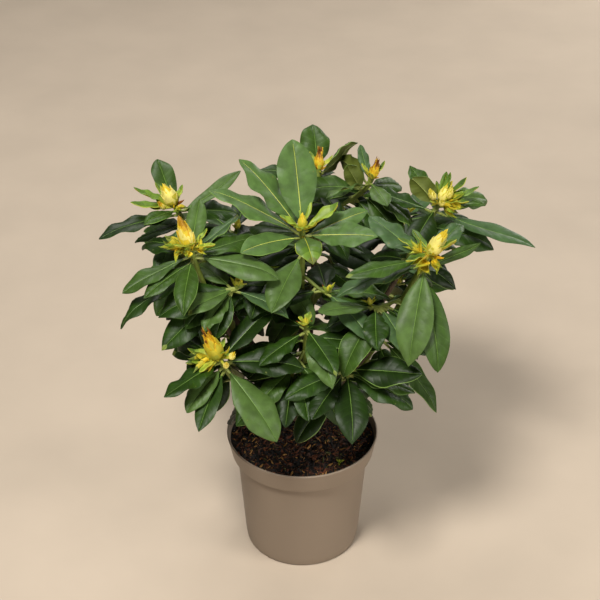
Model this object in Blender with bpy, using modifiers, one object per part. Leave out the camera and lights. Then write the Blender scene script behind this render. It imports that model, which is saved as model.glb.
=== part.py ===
"""Potted rhododendron: a young evergreen shrub with breaking buds, in a plain round pot.

Metres, +Z up, seen from -Y in its usual view. The origin is in the middle of the pot's underside.
"""

import math
import random
from collections import namedtuple

import bmesh
import bpy
from mathutils import Matrix, Vector
from mathutils.bvhtree import BVHTree

CLEARANCE = 0.0003  # between neighbouring solids
WELD = 0.000005  # points nearer than this are one

# Pot
POT_HEIGHT = 0.192
RIM_RADIUS = 0.110
BASE_RADIUS = 0.084
BAND_HEIGHT = 0.032
BAND_FOOT = POT_HEIGHT - BAND_HEIGHT
BAND_FOOT_RADIUS = 0.1035
BODY_TOP_RADIUS = 0.0955
POT_WALL = 0.0024
POT_FLOOR = 0.004
LIP_EDGE = POT_WALL / 3
BASE_EDGE = 0.003
POT_STEPS = 44

# Compost
COMPOST_BELOW_RIM = 0.011
COMPOST_CROWN = 0.003
CROWN_TOP = 0.35  # of the compost's radius, the level middle of its crown
CROWN_SIDE = 0.75  # and where the crown is nearly level with the edge
COMPOST_EDGE = POT_HEIGHT - COMPOST_BELOW_RIM
COMPOST_TOP = COMPOST_EDGE + COMPOST_CROWN

# Trunk and boughs
TRUNK_FOOT = Vector((0.004, 0.002, COMPOST_TOP + CLEARANCE))
TRUNK_TOP = Vector((-0.002, 0.006, 0.270))
TRUNK_ROWS = (0, 0.08, 0.22, 0.6, 1)
TRUNK_RADIUS = 0.0090
TRUNK_TOP_RADIUS = 0.0058
FLARE_RADIUS = 0.0150
FLARE_HEIGHT = 0.010
BOUGH_RADIUS = 0.0046
BOUGH_TIP_RADIUS = 0.0032
SIDE_TWIG_RADIUS = 0.0026
TWIG_TIP_RADIUS = 0.0022
LIMB_SIDES = 6
BOUGH_STEPS = 8
STEM_STEPS = 6
BOUGH_OUT = 0.55  # of a bough's reach, how far it first heads outwards
BOUGH_CLIMB = 0.28  # of its rise, how far it has climbed there
BOUGH_UPTURN = 0.36  # of its rise, how long its last upturn is
SIDE_HEAD = 0.35  # the same two for a side twig, of its length
SIDE_UPTURN = 0.40
BOUGH_SHARE = 0.60  # of the way from the trunk to the bud, where the bough ends and its mass begins
SIDE_TWIG_AT = 0.72  # of the same way, where a mass's side twigs leave its stem
SIDE_TWIG_BARE = 0.25  # share of a side twig, from its root, with no leaves
FILL_ROOM = 0.86  # share of a twig's leafy end that filling leaves use

# Buds, in shares of their length
BUD_GIRTH = 0.42
BUD_POINT = 1.1
BUD_STANDS = 0.35

# Leaves
PETIOLE = 0.13  # share of a leaf's length
PETIOLE_HALF_WIDTH = 0.0016
LEAF_THICKNESS = 0.0022
LEAF_FOLD = math.tan(math.radians(14))
WIDEST_AT = 1.12  # a power: over 1 puts a blade's widest place past its middle
BLADE_SQUARENESS = 2.2
BLADE_POINT = 0.85
LEAF_ROWS = (0.0, PETIOLE, 0.38, 0.72)
YOUNG_ROWS = (0.0, 0.45)
YOUNG_LENGTH = 0.061  # the longest young leaf
YOUNG_WIDTH = 0.29  # of a young leaf's length
YOUNG_DROOP = -15

# The rule that places leaves
SEED = 7
GOLDEN_TURN = 137.5
FILL_LENGTH = (0.085, 0.118)
FILL_WIDTH = (0.33, 0.41)  # of its length
FILL_DROOP = (12, 32)
FILL_ROLL = (-10, 10)
FILL_RISE = (-16, 4)
LIGHT_LEAN = 24  # how far a filling leaf that points sideways rolls its face to the light in front
FILL_SINK = 42  # how much lower the last filling leaf of a twig points, in degrees
WHOLE_ROWS = (0.0, PETIOLE, 0.30, 0.50, 0.70, 0.88)
BLADE_ROWS = (0.24, 0.40, 0.56, 0.72, 0.88)
LEAF_GUARD = 0.0016  # how near a leaf may come to another or to a limb
POT_GUARD = 0.006
GUARD_STEPS = 15  # of the shape that guards a limb
LEAF_REACH = 0.62  # two leaves further apart than this share of their lengths can't meet
NUDGES = [
    (0, 0), (0, 5), (0, -5), (7, 0), (-7, 0), (7, 5), (-7, -5), (0, 10), (0, -10),
    (14, 0), (-14, 0), (14, 8), (-14, -8), (0, -18), (20, -10), (-20, -10),
]

# Colours
TAUPE = (0.262, 0.195, 0.130)
PEAT = (0.022, 0.013, 0.008)
BARK = (0.060, 0.042, 0.022)
LEAF_GREEN = (0.040, 0.095, 0.028)

Shoot = namedtuple("Shoot", "bud lean size leaves young fill open")
Leaf = namedtuple("Leaf", "root turn rise length width droop roll")

# Each mass has the height where its bough leaves the trunk, then its leading shoot and any side shoots.
# A shoot has its bud's place, its lean outwards, its bud's length, its named leaves, its young leaves, how
# many leaves fill its twig, and the sector that they leave open. A named leaf is (turn, rise, length,
# width, droop, roll, set back from the bud) and a young one (turn, rise, length), in degrees and
# millimetres. A turn goes from +X towards +Y.
MASSES = {
    "upper_left": (0.246, [
        Shoot(
            (-0.175, 0.050, 0.540), 0.5, 0.030,
            [
                (112, 18, 104, 30, 10, 0, 8), (211, 0, 120, 34, 15, 0, 14), (38, 16, 112, 24, -25, 0, 10),
                (243, -30, 92, 30, 15, 0, 28), (226, 2, 62, 24, 10, 0, 8), (176, -24, 80, 28, 15, 0, 30),
            ],
            [(178, 24, 60), (192, 6, 60), (150, 36, 40), (60, 40, 30), (130, 55, 26)],
            7, (150, 350),
        ),
    ]),
    "left": (0.231, [
        Shoot(
            (-0.148, -0.050, 0.532), 0.25, 0.046,
            [
                (85, 20, 90, 26, 5, 0, 6), (52, 8, 96, 26, 0, -20, 8), (30, 8, 100, 38, 10, 0, 12),
                (352, -8, 118, 40, 15, 14, 14), (263, -18, 96, 29, 25, 0, 16), (205, -18, 105, 30, 15, 0, 12),
                (222, -10, 88, 27, 20, 0, 20), (206, -24, 130, 30, 15, 0, 34),
            ],
            [(236, 30, 36), (178, 25, 36), (25, 35, 34), (345, 15, 38), (120, 45, 30), (290, 40, 26)],
            4, (140, 30),
        ),
        Shoot(
            (-0.085, -0.060, 0.481), 0.2, 0.018,
            [
                (222, 0, 82, 33, 15, 0, 8), (240, -22, 76, 26, 15, 0, 16), (35, 0, 90, 32, 15, 0, 10),
                (340, -12, 84, 30, 15, 0, 14),
            ],
            [(100, 50, 20), (280, 45, 18)],
            4, (250, 350),
        ),
    ]),
    "lower_left": (0.208, [
        Shoot(
            (-0.112, -0.110, 0.400), 0.45, 0.046,
            [
                (142, 8, 80, 30, 10, 20, 8), (112, 20, 62, 22, 0, 0, 6), (227, -3, 102, 32, 20, 0, 12),
                (231, -20, 84, 30, 15, 0, 22), (246, -24, 100, 29, 20, 0, 28), (316, -38, 128, 50, 25, 0, 18),
                (357, 0, 112, 38, 15, 26, 14), (40, 30, 96, 36, 10, 0, 10), (34, 4, 90, 36, 10, 0, 22),
            ],
            [(179, 12, 42), (193, -8, 44), (216, -15, 38), (300, 45, 26), (60, 50, 26), (340, 20, 24)],
            4, (150, 50),
        ),
        Shoot(
            (-0.100, 0.020, 0.352), 0.5, 0.012,
            [
                (190, 5, 84, 32, 20, 0, 8), (222, -12, 84, 30, 20, 0, 14), (150, 0, 90, 30, 15, 0, 10),
                (110, -5, 90, 30, 15, 0, 12),
            ],
            [],
            4, (240, 360),
        ),
    ]),
    "centre_top": (0.262, [
        Shoot(
            (0.000, 0.000, 0.531), 0.0, 0.022,
            [
                (168, 24, 140, 45, 20, 0, 10), (148, 42, 132, 42, 15, 0, 8), (100, 58, 128, 50, 10, 0, 6),
                (345, 8, 104, 38, 12, 20, 10), (20, 14, 98, 28, 10, 20, 12), (214, 2, 100, 36, 20, -18, 14),
                (285, -18, 56, 34, 80, 0, 10),
            ],
            [(13, 28, 60), (80, 45, 50), (188, 35, 38), (250, 30, 30), (320, 35, 34)],
            7, (250, 95),
        ),
        Shoot(
            (0.035, -0.030, 0.452), 0.3, 0.012,
            [
                (312, -15, 96, 36, 20, 0, 8), (5, -8, 96, 34, 15, 0, 12), (200, -5, 90, 34, 20, 0, 14),
            ],
            [],
            4, (225, 350),
        ),
        Shoot(
            (-0.045, 0.010, 0.462), 0.3, 0.012,
            [(225, -18, 84, 34, 20, 0, 8), (275, -12, 90, 34, 20, 0, 12), (170, -5, 92, 32, 20, 0, 14)],
            [],
            3, (60, 150),
        ),
    ]),
    "front": (0.240, [
        Shoot(
            (0.004, -0.080, 0.431), 0.3, 0.014,
            [(296, -12, 92, 34, 20, 0, 8), (132, -5, 80, 30, 15, 0, 10), (215, -15, 80, 30, 15, 0, 16)],
            [(60, 40, 30), (250, 30, 26), (170, 50, 24)],
            4, (210, 290),
        ),
        Shoot(
            (-0.018, -0.075, 0.350), 0.4, 0.010,
            [
                (262, -32, 85, 30, 25, 0, 8), (286, -28, 85, 30, 25, 0, 12), (228, -20, 85, 32, 15, 0, 16),
                (310, -25, 80, 32, 20, 0, 20), (300, -55, 84, 26, 10, 0, 24),
            ],
            [],
            4, (240, 300),
        ),
    ]),
    "back_top": (0.240, [
        Shoot(
            (0.023, 0.150, 0.541), 0.3, 0.026,
            [
                (94, 22, 102, 40, 12, 0, 8), (52, 14, 88, 36, -10, -74, 8), (172, 5, 88, 30, 15, 0, 12),
                (293, -5, 80, 22, 10, 0, 24),
            ],
            [(130, 45, 28), (20, 40, 28)],
            5, (200, 280),
        ),
        Shoot(
            (0.098, 0.130, 0.538), 0.3, 0.026,
            [
                (104, 26, 66, 15, 0, 0, 6), (135, 12, 86, 30, 10, 96, 12), (222, 10, 84, 26, 10, 30, 10),
                (288, 0, 72, 26, 20, 0, 8), (335, -30, 88, 28, 15, 0, 16), (200, 60, 56, 24, 8, 80, 26),
            ],
            [(160, 50, 26), (30, 40, 30), (260, 40, 26)],
            4, (200, 300),
        ),
    ]),
    "upper_right": (0.252, [
        Shoot(
            (0.191, 0.080, 0.528), 0.6, 0.030,
            [
                (355, 8, 66, 16, 5, 0, 6), (150, 8, 104, 32, 10, 0, 16), (161, 48, 56, 32, 10, 100, 6),
                (121, 27, 76, 28, 5, 0, 8), (246, -6, 96, 36, 20, 0, 12), (342, -10, 146, 36, -15, 0, 14),
                (75, -8, 96, 32, 15, 0, 20),
            ],
            [(70, 56, 42), (0, 46, 52), (352, 25, 58), (340, 18, 44), (30, 58, 44), (100, 60, 30)],
            5, (190, 345),
        ),
    ]),
    "right": (0.226, [
        Shoot(
            (0.169, -0.050, 0.523), 0.5, 0.040,
            [
                (254, -50, 146, 45, 30, 0, 12), (286, -46, 142, 38, 30, 0, 26),
                (193, -16, 128, 33, 15, 0, 16), (203, 2, 118, 31, 10, 0, 10), (135, 12, 110, 40, 10, 0, 10),
                (54, 10, 90, 28, 5, 0, 8), (25, 10, 95, 15, -6, 70, 26), (80, 0, 95, 30, 15, 0, 20),
            ],
            [(165, 20, 48), (121, 18, 46), (324, 42, 52), (217, 5, 46), (250, 30, 30), (20, 45, 34)],
            4, (190, 40),
        ),
        Shoot(
            (0.091, -0.050, 0.443), 0.2, 0.012,
            [
                (211, 10, 92, 32, 10, 0, 8), (268, -15, 74, 33, 20, 0, 10), (298, -20, 84, 32, 15, 0, 16),
                (233, -22, 112, 38, 20, 0, 18), (150, 0, 90, 30, 15, 0, 14),
            ],
            [],
            4, (190, 310),
        ),
    ]),
    "lower_right": (0.211, [
        Shoot(
            (0.062, -0.090, 0.368), 0.6, 0.012,
            [
                (276, -24, 112, 43, 25, 0, 10), (340, 8, 106, 42, 15, 26, 8), (238, -18, 88, 34, 20, 0, 14),
                (345, -8, 100, 34, 20, 0, 18),
            ],
            [],
            3, (250, 340),
        ),
    ]),
    "low_right": (0.200, [
        Shoot(
            (0.116, 0.004, 0.358), 0.6, 0.012,
            [
                (325, -38, 130, 36, 15, 0, 10), (350, -5, 84, 34, 15, 0, 14), (30, 0, 90, 32, 15, 0, 10),
                (290, -25, 100, 36, 20, 0, 18),
            ],
            [],
            4, (230, 360),
        ),
    ]),
    "back_left": (0.214, [
        Shoot(
            (-0.150, 0.160, 0.390), 0.5, 0.022,
            [(150, 5, 106, 34, 15, 0, 8), (95, 0, 105, 34, 15, 0, 10), (200, -5, 104, 34, 20, 0, 12)],
            [(120, 40, 30), (30, 40, 28)],
            6, (300, 30),
        ),
        Shoot(
            (-0.095, 0.140, 0.450), 0.3, 0.016,
            [(80, 5, 100, 34, 15, 0, 8), (125, 0, 104, 34, 15, 0, 10), (165, -5, 96, 34, 20, 0, 12)],
            [(100, 45, 28)],
            4, (230, 30),
        ),
    ]),
    "back_right": (0.215, [
        Shoot(
            (0.150, 0.200, 0.440), 0.5, 0.024,
            [(60, 0, 108, 34, 15, 0, 8), (10, 0, 104, 34, 15, 0, 10), (110, -5, 108, 34, 20, 0, 12)],
            [(80, 40, 30), (330, 40, 28)],
            8, (190, 260),
        ),
        Shoot(
            (0.140, 0.110, 0.375), 0.5, 0.012,
            [(10, -10, 88, 34, 20, 0, 8), (50, -10, 100, 34, 20, 0, 12), (90, -5, 96, 32, 20, 0, 14)],
            [],
            4, (200, 10),
        ),
    ]),
    "back_low": (0.200, [
        Shoot(
            (0.020, 0.200, 0.400), 0.6, 0.020,
            [(90, -5, 108, 34, 15, 0, 8), (50, -10, 104, 34, 20, 0, 12), (130, -10, 108, 34, 20, 0, 14)],
            [(70, 40, 26)],
            8, (230, 310),
        ),
        Shoot(
            (-0.060, 0.150, 0.330), 0.6, 0.012,
            [(120, -15, 100, 34, 20, 0, 8), (160, -12, 100, 34, 20, 0, 12), (80, -20, 96, 32, 20, 0, 14)],
            [],
            3, (230, 330),
        ),
    ]),
}


def direction(turn, rise):
    """The unit vector at a turn from +X and a rise above level, in degrees."""
    turn, rise = math.radians(turn), math.radians(rise)
    return Vector((math.cos(rise) * math.cos(turn), math.cos(rise) * math.sin(turn), math.sin(rise)))


def along(path, share):
    """The place and the heading at a share of the way along a cubic path of four points."""
    a, b, c, d = path
    t, u = share, 1 - share
    place = a * u**3 + b * 3 * u * u * t + c * 3 * u * t * t + d * t**3
    heading = (b - a) * u * u + (c - b) * 2 * u * t + (d - c) * t * t
    return place, heading.normalized()


def stretch(path, first, last, steps):
    """The points of a path from one share of the way to another."""
    return [along(path, first + (last - first) * i / steps)[0] for i in range(steps + 1)]


def set_back(path, distance):
    """The share of the way along a path that lies a distance back from its end."""
    share, place, gone = 1.0, path[3], 0.0
    while gone < distance and share > 0.02:
        share -= 0.01
        here = along(path, share)[0]
        gone += (here - place).length
        place = here
    return share


def trunk_at(height):
    """The middle of the trunk at a height."""
    return TRUNK_FOOT.lerp(TRUNK_TOP, (height - TRUNK_FOOT.z) / (TRUNK_TOP.z - TRUNK_FOOT.z))


def level_way(start, end):
    """The level distance between two places, and the level unit vector that way."""
    out = Vector((end.x - start.x, end.y - start.y, 0))
    return out.length, out.normalized() if out.length > BOUGH_RADIUS * 2 else Vector((0, 0, 0))


def bough_path(start, bud, lean):
    """A limb that leaves the trunk outwards, then turns up to its bud."""
    (reach, way), rise = level_way(start, bud), bud.z - start.z
    last = (way * lean + Vector((0, 0, 1))).normalized()
    out = start + way * reach * BOUGH_OUT + Vector((0, 0, rise * BOUGH_CLIMB))
    return start, out, bud - last * rise * BOUGH_UPTURN, bud


def side_path(lead, bud, lean):
    """A side twig that leaves its leading stem along it, then turns to its own bud."""
    start, heading = along(lead, SIDE_TWIG_AT)
    reach, way = (bud - start).length, level_way(start, bud)[1]
    last = (way * lean + Vector((0, 0, 1))).normalized()
    return start, start + heading * reach * SIDE_HEAD, bud - last * reach * SIDE_UPTURN, bud


def shoot_paths(height, shoots):
    """The path of each shoot of a mass, the leading one first."""
    lead = bough_path(trunk_at(height), Vector(shoots[0].bud), shoots[0].lean)
    return [lead] + [side_path(lead, Vector(shoot.bud), shoot.lean) for shoot in shoots[1:]]


def midrib(leaf, share):
    """The place, heading and level side at a share of the way along a leaf, bent as an arc."""
    bend = math.radians(leaf.droop)
    middle = direction(leaf.turn, leaf.rise)
    side = Vector((-middle.y, middle.x, 0)).normalized()
    if abs(bend) < 0.01:
        return leaf.root + middle * leaf.length * share, middle, side
    up, radius = middle.cross(side), leaf.length / bend
    begin, now = bend / 2, bend * (0.5 - share)
    ahead, lift = math.sin(begin) - math.sin(now), math.cos(now) - math.cos(begin)
    place = leaf.root + (middle * ahead + up * lift) * radius
    return place, middle * math.cos(now) + up * math.sin(now), side


def half_width(leaf, share):
    """Half the width of a leaf: a slim petiole, then an oblong blade with a short point."""
    if share <= PETIOLE:
        return PETIOLE_HALF_WIDTH
    blade = (share - PETIOLE) / (1 - PETIOLE)
    swell = (1 - abs(2 * blade**WIDEST_AT - 1) ** BLADE_SQUARENESS) ** BLADE_POINT
    return max(leaf.width / 2 * swell, PETIOLE_HALF_WIDTH)


def leaf_rows(leaf, shares, extra=0.0):
    """Rings of four points across a leaf, folded up from its midrib, and its tip as the last row."""
    rows = []
    for share in shares:
        place, heading, side = midrib(leaf, share)
        across = Matrix.Rotation(math.radians(leaf.roll), 3, heading) @ side
        up = heading.cross(across)
        half = half_width(leaf, share) + extra
        fold, thick = up * half * LEAF_FOLD, up * (LEAF_THICKNESS / 2 + extra)
        right, left = across * half + fold, fold - across * half
        rows.append([place + right, place + thick, place + left, place - thick])
    tip, heading, _ = midrib(leaf, 1)
    return rows + [[tip + heading * extra]]


def leaf_faces(rows):
    """The points and faces of the closed solid through rings of four points and a tip."""
    rings = len(rows) - 1
    faces = [(3, 2, 1, 0)]
    for ring in range(rings):
        for k in range(4):
            a, b = 4 * ring + k, 4 * ring + (k + 1) % 4
            faces.append((b, 4 * rings, a) if ring == rings - 1 else (b, b + 4, a + 4, a))
    return [place for row in rows for place in row], faces


def leaf_tree(leaf, shares, extra=0.0):
    """A leaf's surface, for telling whether it meets another."""
    places, faces = leaf_faces(leaf_rows(leaf, shares, extra))
    return BVHTree.FromPolygons([tuple(place) for place in places], faces)


def limb_tree(places, radius):
    """A round limb's surface, for the same."""
    rings, faces = [], []
    for i, place in enumerate(places):
        heading = places[min(i + 1, len(places) - 1)] - places[max(i - 1, 0)]
        turn = Vector((0, 0, 1)).rotation_difference(heading).to_matrix()
        for k in range(LIMB_SIDES):
            rings.append(place + turn @ direction(360 * k / LIMB_SIDES, 0) * radius)
    for i in range(len(places) - 1):
        for k in range(LIMB_SIDES):
            a, b = i * LIMB_SIDES + k, i * LIMB_SIDES + (k + 1) % LIMB_SIDES
            faces.append((a, b, b + LIMB_SIDES, a + LIMB_SIDES))
    return BVHTree.FromPolygons([tuple(place) for place in rings], faces)


def in_pot(place):
    near = RIM_RADIUS + POT_GUARD
    return place.z < POT_HEIGHT + POT_GUARD and math.hypot(place.x, place.y) < near


class Crown:
    """Keeps what stands in the crown, so that each new leaf stays clear of it."""

    def __init__(self):
        self.limbs = []
        self.leaves = []

    def add_limb(self, mass, places, radius):
        self.limbs.append((mass, limb_tree(places, radius)))

    def is_clear(self, leaf, mass, young):
        """Whether a leaf meets nothing. Near their own stem, the petioles of one mass may meet."""
        if any(in_pot(place) for row in leaf_rows(leaf, WHOLE_ROWS, LEAF_GUARD)[1:] for place in row):
            return False
        whole, blade = leaf_tree(leaf, WHOLE_ROWS, LEAF_GUARD), leaf_tree(leaf, BLADE_ROWS, LEAF_GUARD)
        for theirs, shape in self.limbs:
            if theirs != mass and whole.overlap(shape):
                return False
            if theirs == mass and not young and blade.overlap(shape):
                return False
        middle = midrib(leaf, 0.5)[0]
        for theirs, centre, length, other_whole, other_blade in self.leaves:
            if (centre - middle).length > (length + leaf.length) * LEAF_REACH:
                continue
            if blade.overlap(other_blade) if theirs == mass else whole.overlap(other_whole):
                return False
        return True

    def settle(self, leaf, mass, young=False):
        """The leaf, turned or tipped a little where something is in its way, or None where it can't fit."""
        for turn, rise in NUDGES:
            trial = leaf._replace(turn=leaf.turn + turn, rise=leaf.rise + rise)
            if self.is_clear(trial, mass, young):
                trees = leaf_tree(trial, WHOLE_ROWS), leaf_tree(trial, BLADE_ROWS)
                self.leaves.append((mass, midrib(trial, 0.5)[0], trial.length, *trees))
                return trial
        return None


def named_leaves(path, shoot):
    for turn, rise, length, width, droop, roll, back in shoot.leaves:
        root = along(path, set_back(path, back / 1000))[0]
        yield Leaf(root, turn, rise, length / 1000, width / 1000, droop, roll)


def young_leaves(path, shoot):
    for turn, rise, length in shoot.young:
        yield Leaf(path[3], turn, rise, length / 1000, length / 1000 * YOUNG_WIDTH, YOUNG_DROOP, 0)


def filling_leaves(path, first_leafy, shoot, draw):
    """Older leaves down a twig, by the golden turn, each lower and more drooping than the last."""
    turn = draw.uniform(0, 360)
    tries = 3 * shoot.fill
    first, last = shoot.open
    for i in range(1, tries + 1):
        turn = (turn + GOLDEN_TURN) % 360
        depth = i / tries
        rise = draw.uniform(*FILL_RISE) - FILL_SINK * depth
        length = draw.uniform(*FILL_LENGTH)
        width = length * draw.uniform(*FILL_WIDTH)
        roll, droop = draw.uniform(*FILL_ROLL), draw.uniform(*FILL_DROOP)
        roll += LIGHT_LEAN * math.cos(math.radians(turn))
        if (turn - first) % 360 >= (last - first) % 360:
            root = along(path, 1 - (1 - first_leafy) * FILL_ROOM * depth)[0]
            yield Leaf(root, turn, rise, length, width, droop, roll)


def grow_leaves(paths):
    """The leaves of each mass: the named ones are placed first, then the young ones, then the filling."""
    draw, crown = random.Random(SEED), Crown()
    every = [(name, shoot, path) for name in MASSES for shoot, path in zip(MASSES[name][1], paths[name])]
    crown.add_limb("trunk", [TRUNK_FOOT, TRUNK_TOP], TRUNK_RADIUS)
    for name, shoot, path in every:
        bud, axis = along(path, 1)
        crown.add_limb(name, stretch(path, 0, 1, GUARD_STEPS), BOUGH_RADIUS)
        crown.add_limb(name, [bud, bud + axis * shoot.size], shoot.size * BUD_GIRTH / 2)
    grown = {name: [] for name in MASSES}
    for name, shoot, path in every:
        grown[name] += [crown.settle(leaf, name) for leaf in named_leaves(path, shoot)]
    for name, shoot, path in every:
        grown[name] += [crown.settle(leaf, name, young=True) for leaf in young_leaves(path, shoot)]
    for name, shoot, path in every:
        first_leafy = BOUGH_SHARE if path is paths[name][0] else SIDE_TWIG_BARE
        room = shoot.fill
        for leaf in filling_leaves(path, first_leafy, shoot, draw):
            settled = crown.settle(leaf, name) if room else None
            room -= settled is not None
            grown[name].append(settled)
    return {name: [leaf for leaf in leaves if leaf] for name, leaves in grown.items()}


def material(name, colour, roughness):
    made = bpy.data.materials.new(name)
    made.use_nodes = True
    shader = made.node_tree.nodes["Principled BSDF"]
    shader.inputs["Base Color"].default_value = (*colour, 1)
    shader.inputs["Roughness"].default_value = roughness
    return made


def add_object(name, data, group, finish):
    made = bpy.data.objects.new(name, data)
    group.objects.link(made)
    data.materials.clear()
    data.materials.append(finish)
    return made


def mesh_object(name, places, edges, faces, group, finish):
    mesh = bpy.data.meshes.new(name)
    mesh.from_pydata(places, edges, faces)
    return add_object(name, mesh, group, finish)


def evaluated_mesh(made):
    """A copy of an object's mesh as its curve or its modifiers make it."""
    bpy.context.view_layer.update()
    return bpy.data.meshes.new_from_object(made.evaluated_get(bpy.context.evaluated_depsgraph_get()))


def turned(name, profile, group, finish):
    """A solid turned from a profile of radii and heights that runs down its outer side."""
    edges = [(i, i + 1) for i in range(len(profile) - 1)]
    made = mesh_object(name, [(radius, 0, height) for radius, height in profile], edges, [], group, finish)
    screw = made.modifiers.new("Turn", "SCREW")
    screw.steps = screw.render_steps = POT_STEPS
    screw.use_merge_vertices = True
    screw.merge_threshold = 0.0001


def limb(name, places, first_radius, last_radius, group, finish):
    """A tapering round limb, as a mesh made from a curve through its places."""
    curve = bpy.data.curves.new(name, "CURVE")
    curve.dimensions = "3D"
    curve.bevel_depth = 1.0
    curve.bevel_resolution = (LIMB_SIDES - 4) // 2
    curve.use_fill_caps = True
    line = curve.splines.new("POLY")
    line.points.add(len(places) - 1)
    for i, (point, place) in enumerate(zip(line.points, places)):
        point.co = (*place, 1)
        point.radius = first_radius + (last_radius - first_radius) * i / (len(places) - 1)
    rod = add_object(name + "_line", curve, group, finish)
    mesh = evaluated_mesh(rod)
    bpy.data.objects.remove(rod)
    form = bmesh.new()
    form.from_mesh(mesh)
    bmesh.ops.remove_doubles(form, verts=form.verts, dist=WELD)
    form.to_mesh(mesh)
    form.free()
    return add_object(name, mesh, group, finish)


def drop_scraps(form):
    """Keeps only the largest shell of a bmesh, so no loose scrap or sealed hollow is left."""
    seen, shells = set(), []
    for face in form.faces:
        if face in seen:
            continue
        seen.add(face)
        shell = [face]
        for now in shell:
            for edge in now.edges:
                if len(edge.link_faces) == 2:
                    beside = [other for other in edge.link_faces if other not in seen]
                    seen.update(beside)
                    shell += beside
        shells.append(shell)
    scraps = [face for shell in sorted(shells, key=len)[:-1] for face in shell]
    bmesh.ops.delete(form, geom=scraps, context="FACES")


def fuse(base, others):
    """Joins the solids of a collection to a base by one union."""
    union = base.modifiers.new("Union", "BOOLEAN")
    union.operation = "UNION"
    union.operand_type = "COLLECTION"
    union.collection = others
    mesh = evaluated_mesh(base)
    base.modifiers.clear()
    for piece in list(others.objects):
        bpy.data.objects.remove(piece)
    bpy.data.collections.remove(others)
    form = bmesh.new()
    form.from_mesh(mesh)
    bmesh.ops.remove_doubles(form, verts=form.verts, dist=WELD)
    bmesh.ops.triangulate(form, faces=form.faces)
    drop_scraps(form)
    form.to_mesh(mesh)
    form.free()
    base.data = mesh


def inner_wall():
    """The radii and heights of the pot's inner side, from its floor up to its rim."""
    return [
        (BASE_RADIUS - POT_WALL, POT_FLOOR),
        (BODY_TOP_RADIUS - POT_WALL, BAND_FOOT - POT_WALL),
        (BAND_FOOT_RADIUS - POT_WALL, BAND_FOOT + POT_WALL),
        (RIM_RADIUS - POT_WALL, POT_HEIGHT - LIP_EDGE),
    ]


def make_pot(group):
    """A thin-walled pot with a plain band under its rim."""
    outer_wall = [
        (RIM_RADIUS - POT_WALL + LIP_EDGE, POT_HEIGHT),
        (RIM_RADIUS - LIP_EDGE, POT_HEIGHT),
        (RIM_RADIUS, POT_HEIGHT - LIP_EDGE),
        (BAND_FOOT_RADIUS, BAND_FOOT),
        (BODY_TOP_RADIUS, BAND_FOOT - (BAND_FOOT_RADIUS - BODY_TOP_RADIUS) / 2),
        (BASE_RADIUS, BASE_EDGE),
        (BASE_RADIUS - BASE_EDGE / 3, BASE_EDGE / 3),
        (BASE_RADIUS - BASE_EDGE, 0),
        (0, 0),
    ]
    turned("pot", [(0, POT_FLOOR)] + inner_wall() + outer_wall, group, material("pot_plastic", TAUPE, 0.45))


def make_compost(group):
    """The compost fills the pot, with a low crown round the stem."""
    floor, low, high, rim = [(radius - 2 * CLEARANCE, height + CLEARANCE) for radius, height in inner_wall()]
    share = (COMPOST_EDGE - high[1]) / (rim[1] - high[1])
    edge = (high[0] + (rim[0] - high[0]) * share, COMPOST_EDGE)
    side = (edge[0] * CROWN_SIDE, COMPOST_EDGE + COMPOST_CROWN / 3)
    top = [(0, COMPOST_TOP), (edge[0] * CROWN_TOP, COMPOST_TOP), side]
    turned("compost", top + [edge, high, low, floor, (0, floor[1])], group, material("peat", PEAT, 0.95))


def make_trunk(group, bark):
    """The short main stem, with its root flare and a flat cut at the compost."""
    line = [TRUNK_FOOT.lerp(TRUNK_TOP, share) for share in TRUNK_ROWS]
    trunk = limb("trunk", line, TRUNK_RADIUS, TRUNK_TOP_RADIUS, group, bark)
    for vertex in trunk.data.vertices:
        height = max(vertex.co.z - TRUNK_FOOT.z, 0)
        flare = 1 + (FLARE_RADIUS / TRUNK_RADIUS - 1) * math.exp(-height / FLARE_HEIGHT)
        middle = trunk_at(vertex.co.z)
        vertex.co.xy = middle.xy + (vertex.co.xy - middle.xy) * flare
        if height < FLARE_HEIGHT / 4:
            vertex.co.z = TRUNK_FOOT.z
    return trunk


def seat_cutter(trunk, guides):
    """The trunk grown by the gap that the boughs keep to it."""
    cutter = bpy.data.objects.new("trunk_seat", trunk.data.copy())
    guides.objects.link(cutter)
    cutter.hide_render = True
    cutter.display_type = "WIRE"
    grow = cutter.modifiers.new("Gap", "DISPLACE")
    grow.strength = CLEARANCE
    grow.mid_level = 0
    return cutter


def make_bough(name, path, cutter, group, bark):
    """One tapering limb from the trunk, where it is cut to sit, to where its mass begins."""
    line = stretch(path, 0, BOUGH_SHARE, BOUGH_STEPS)
    bough = limb("bough_" + name, line, BOUGH_RADIUS, BOUGH_TIP_RADIUS, group, bark)
    seat = bough.modifiers.new("Seat", "BOOLEAN")
    seat.operation = "DIFFERENCE"
    seat.object = cutter


def make_bud(place, axis, size, group, finish):
    """A pointed bud at the end of its shoot."""
    form = bmesh.new()
    bmesh.ops.create_uvsphere(form, u_segments=LIMB_SIDES, v_segments=5, radius=0.5)
    for vertex in form.verts:
        vertex.co.xy *= BUD_GIRTH * (1 - max(vertex.co.z, 0) * BUD_POINT)
    turn = Vector((0, 0, 1)).rotation_difference(axis).to_matrix().to_4x4()
    form.transform(Matrix.Translation(place + axis * size * BUD_STANDS) @ turn @ Matrix.Scale(size, 4))
    mesh = bpy.data.meshes.new("bud")
    form.to_mesh(mesh)
    form.free()
    add_object("bud", mesh, group, finish)


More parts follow.
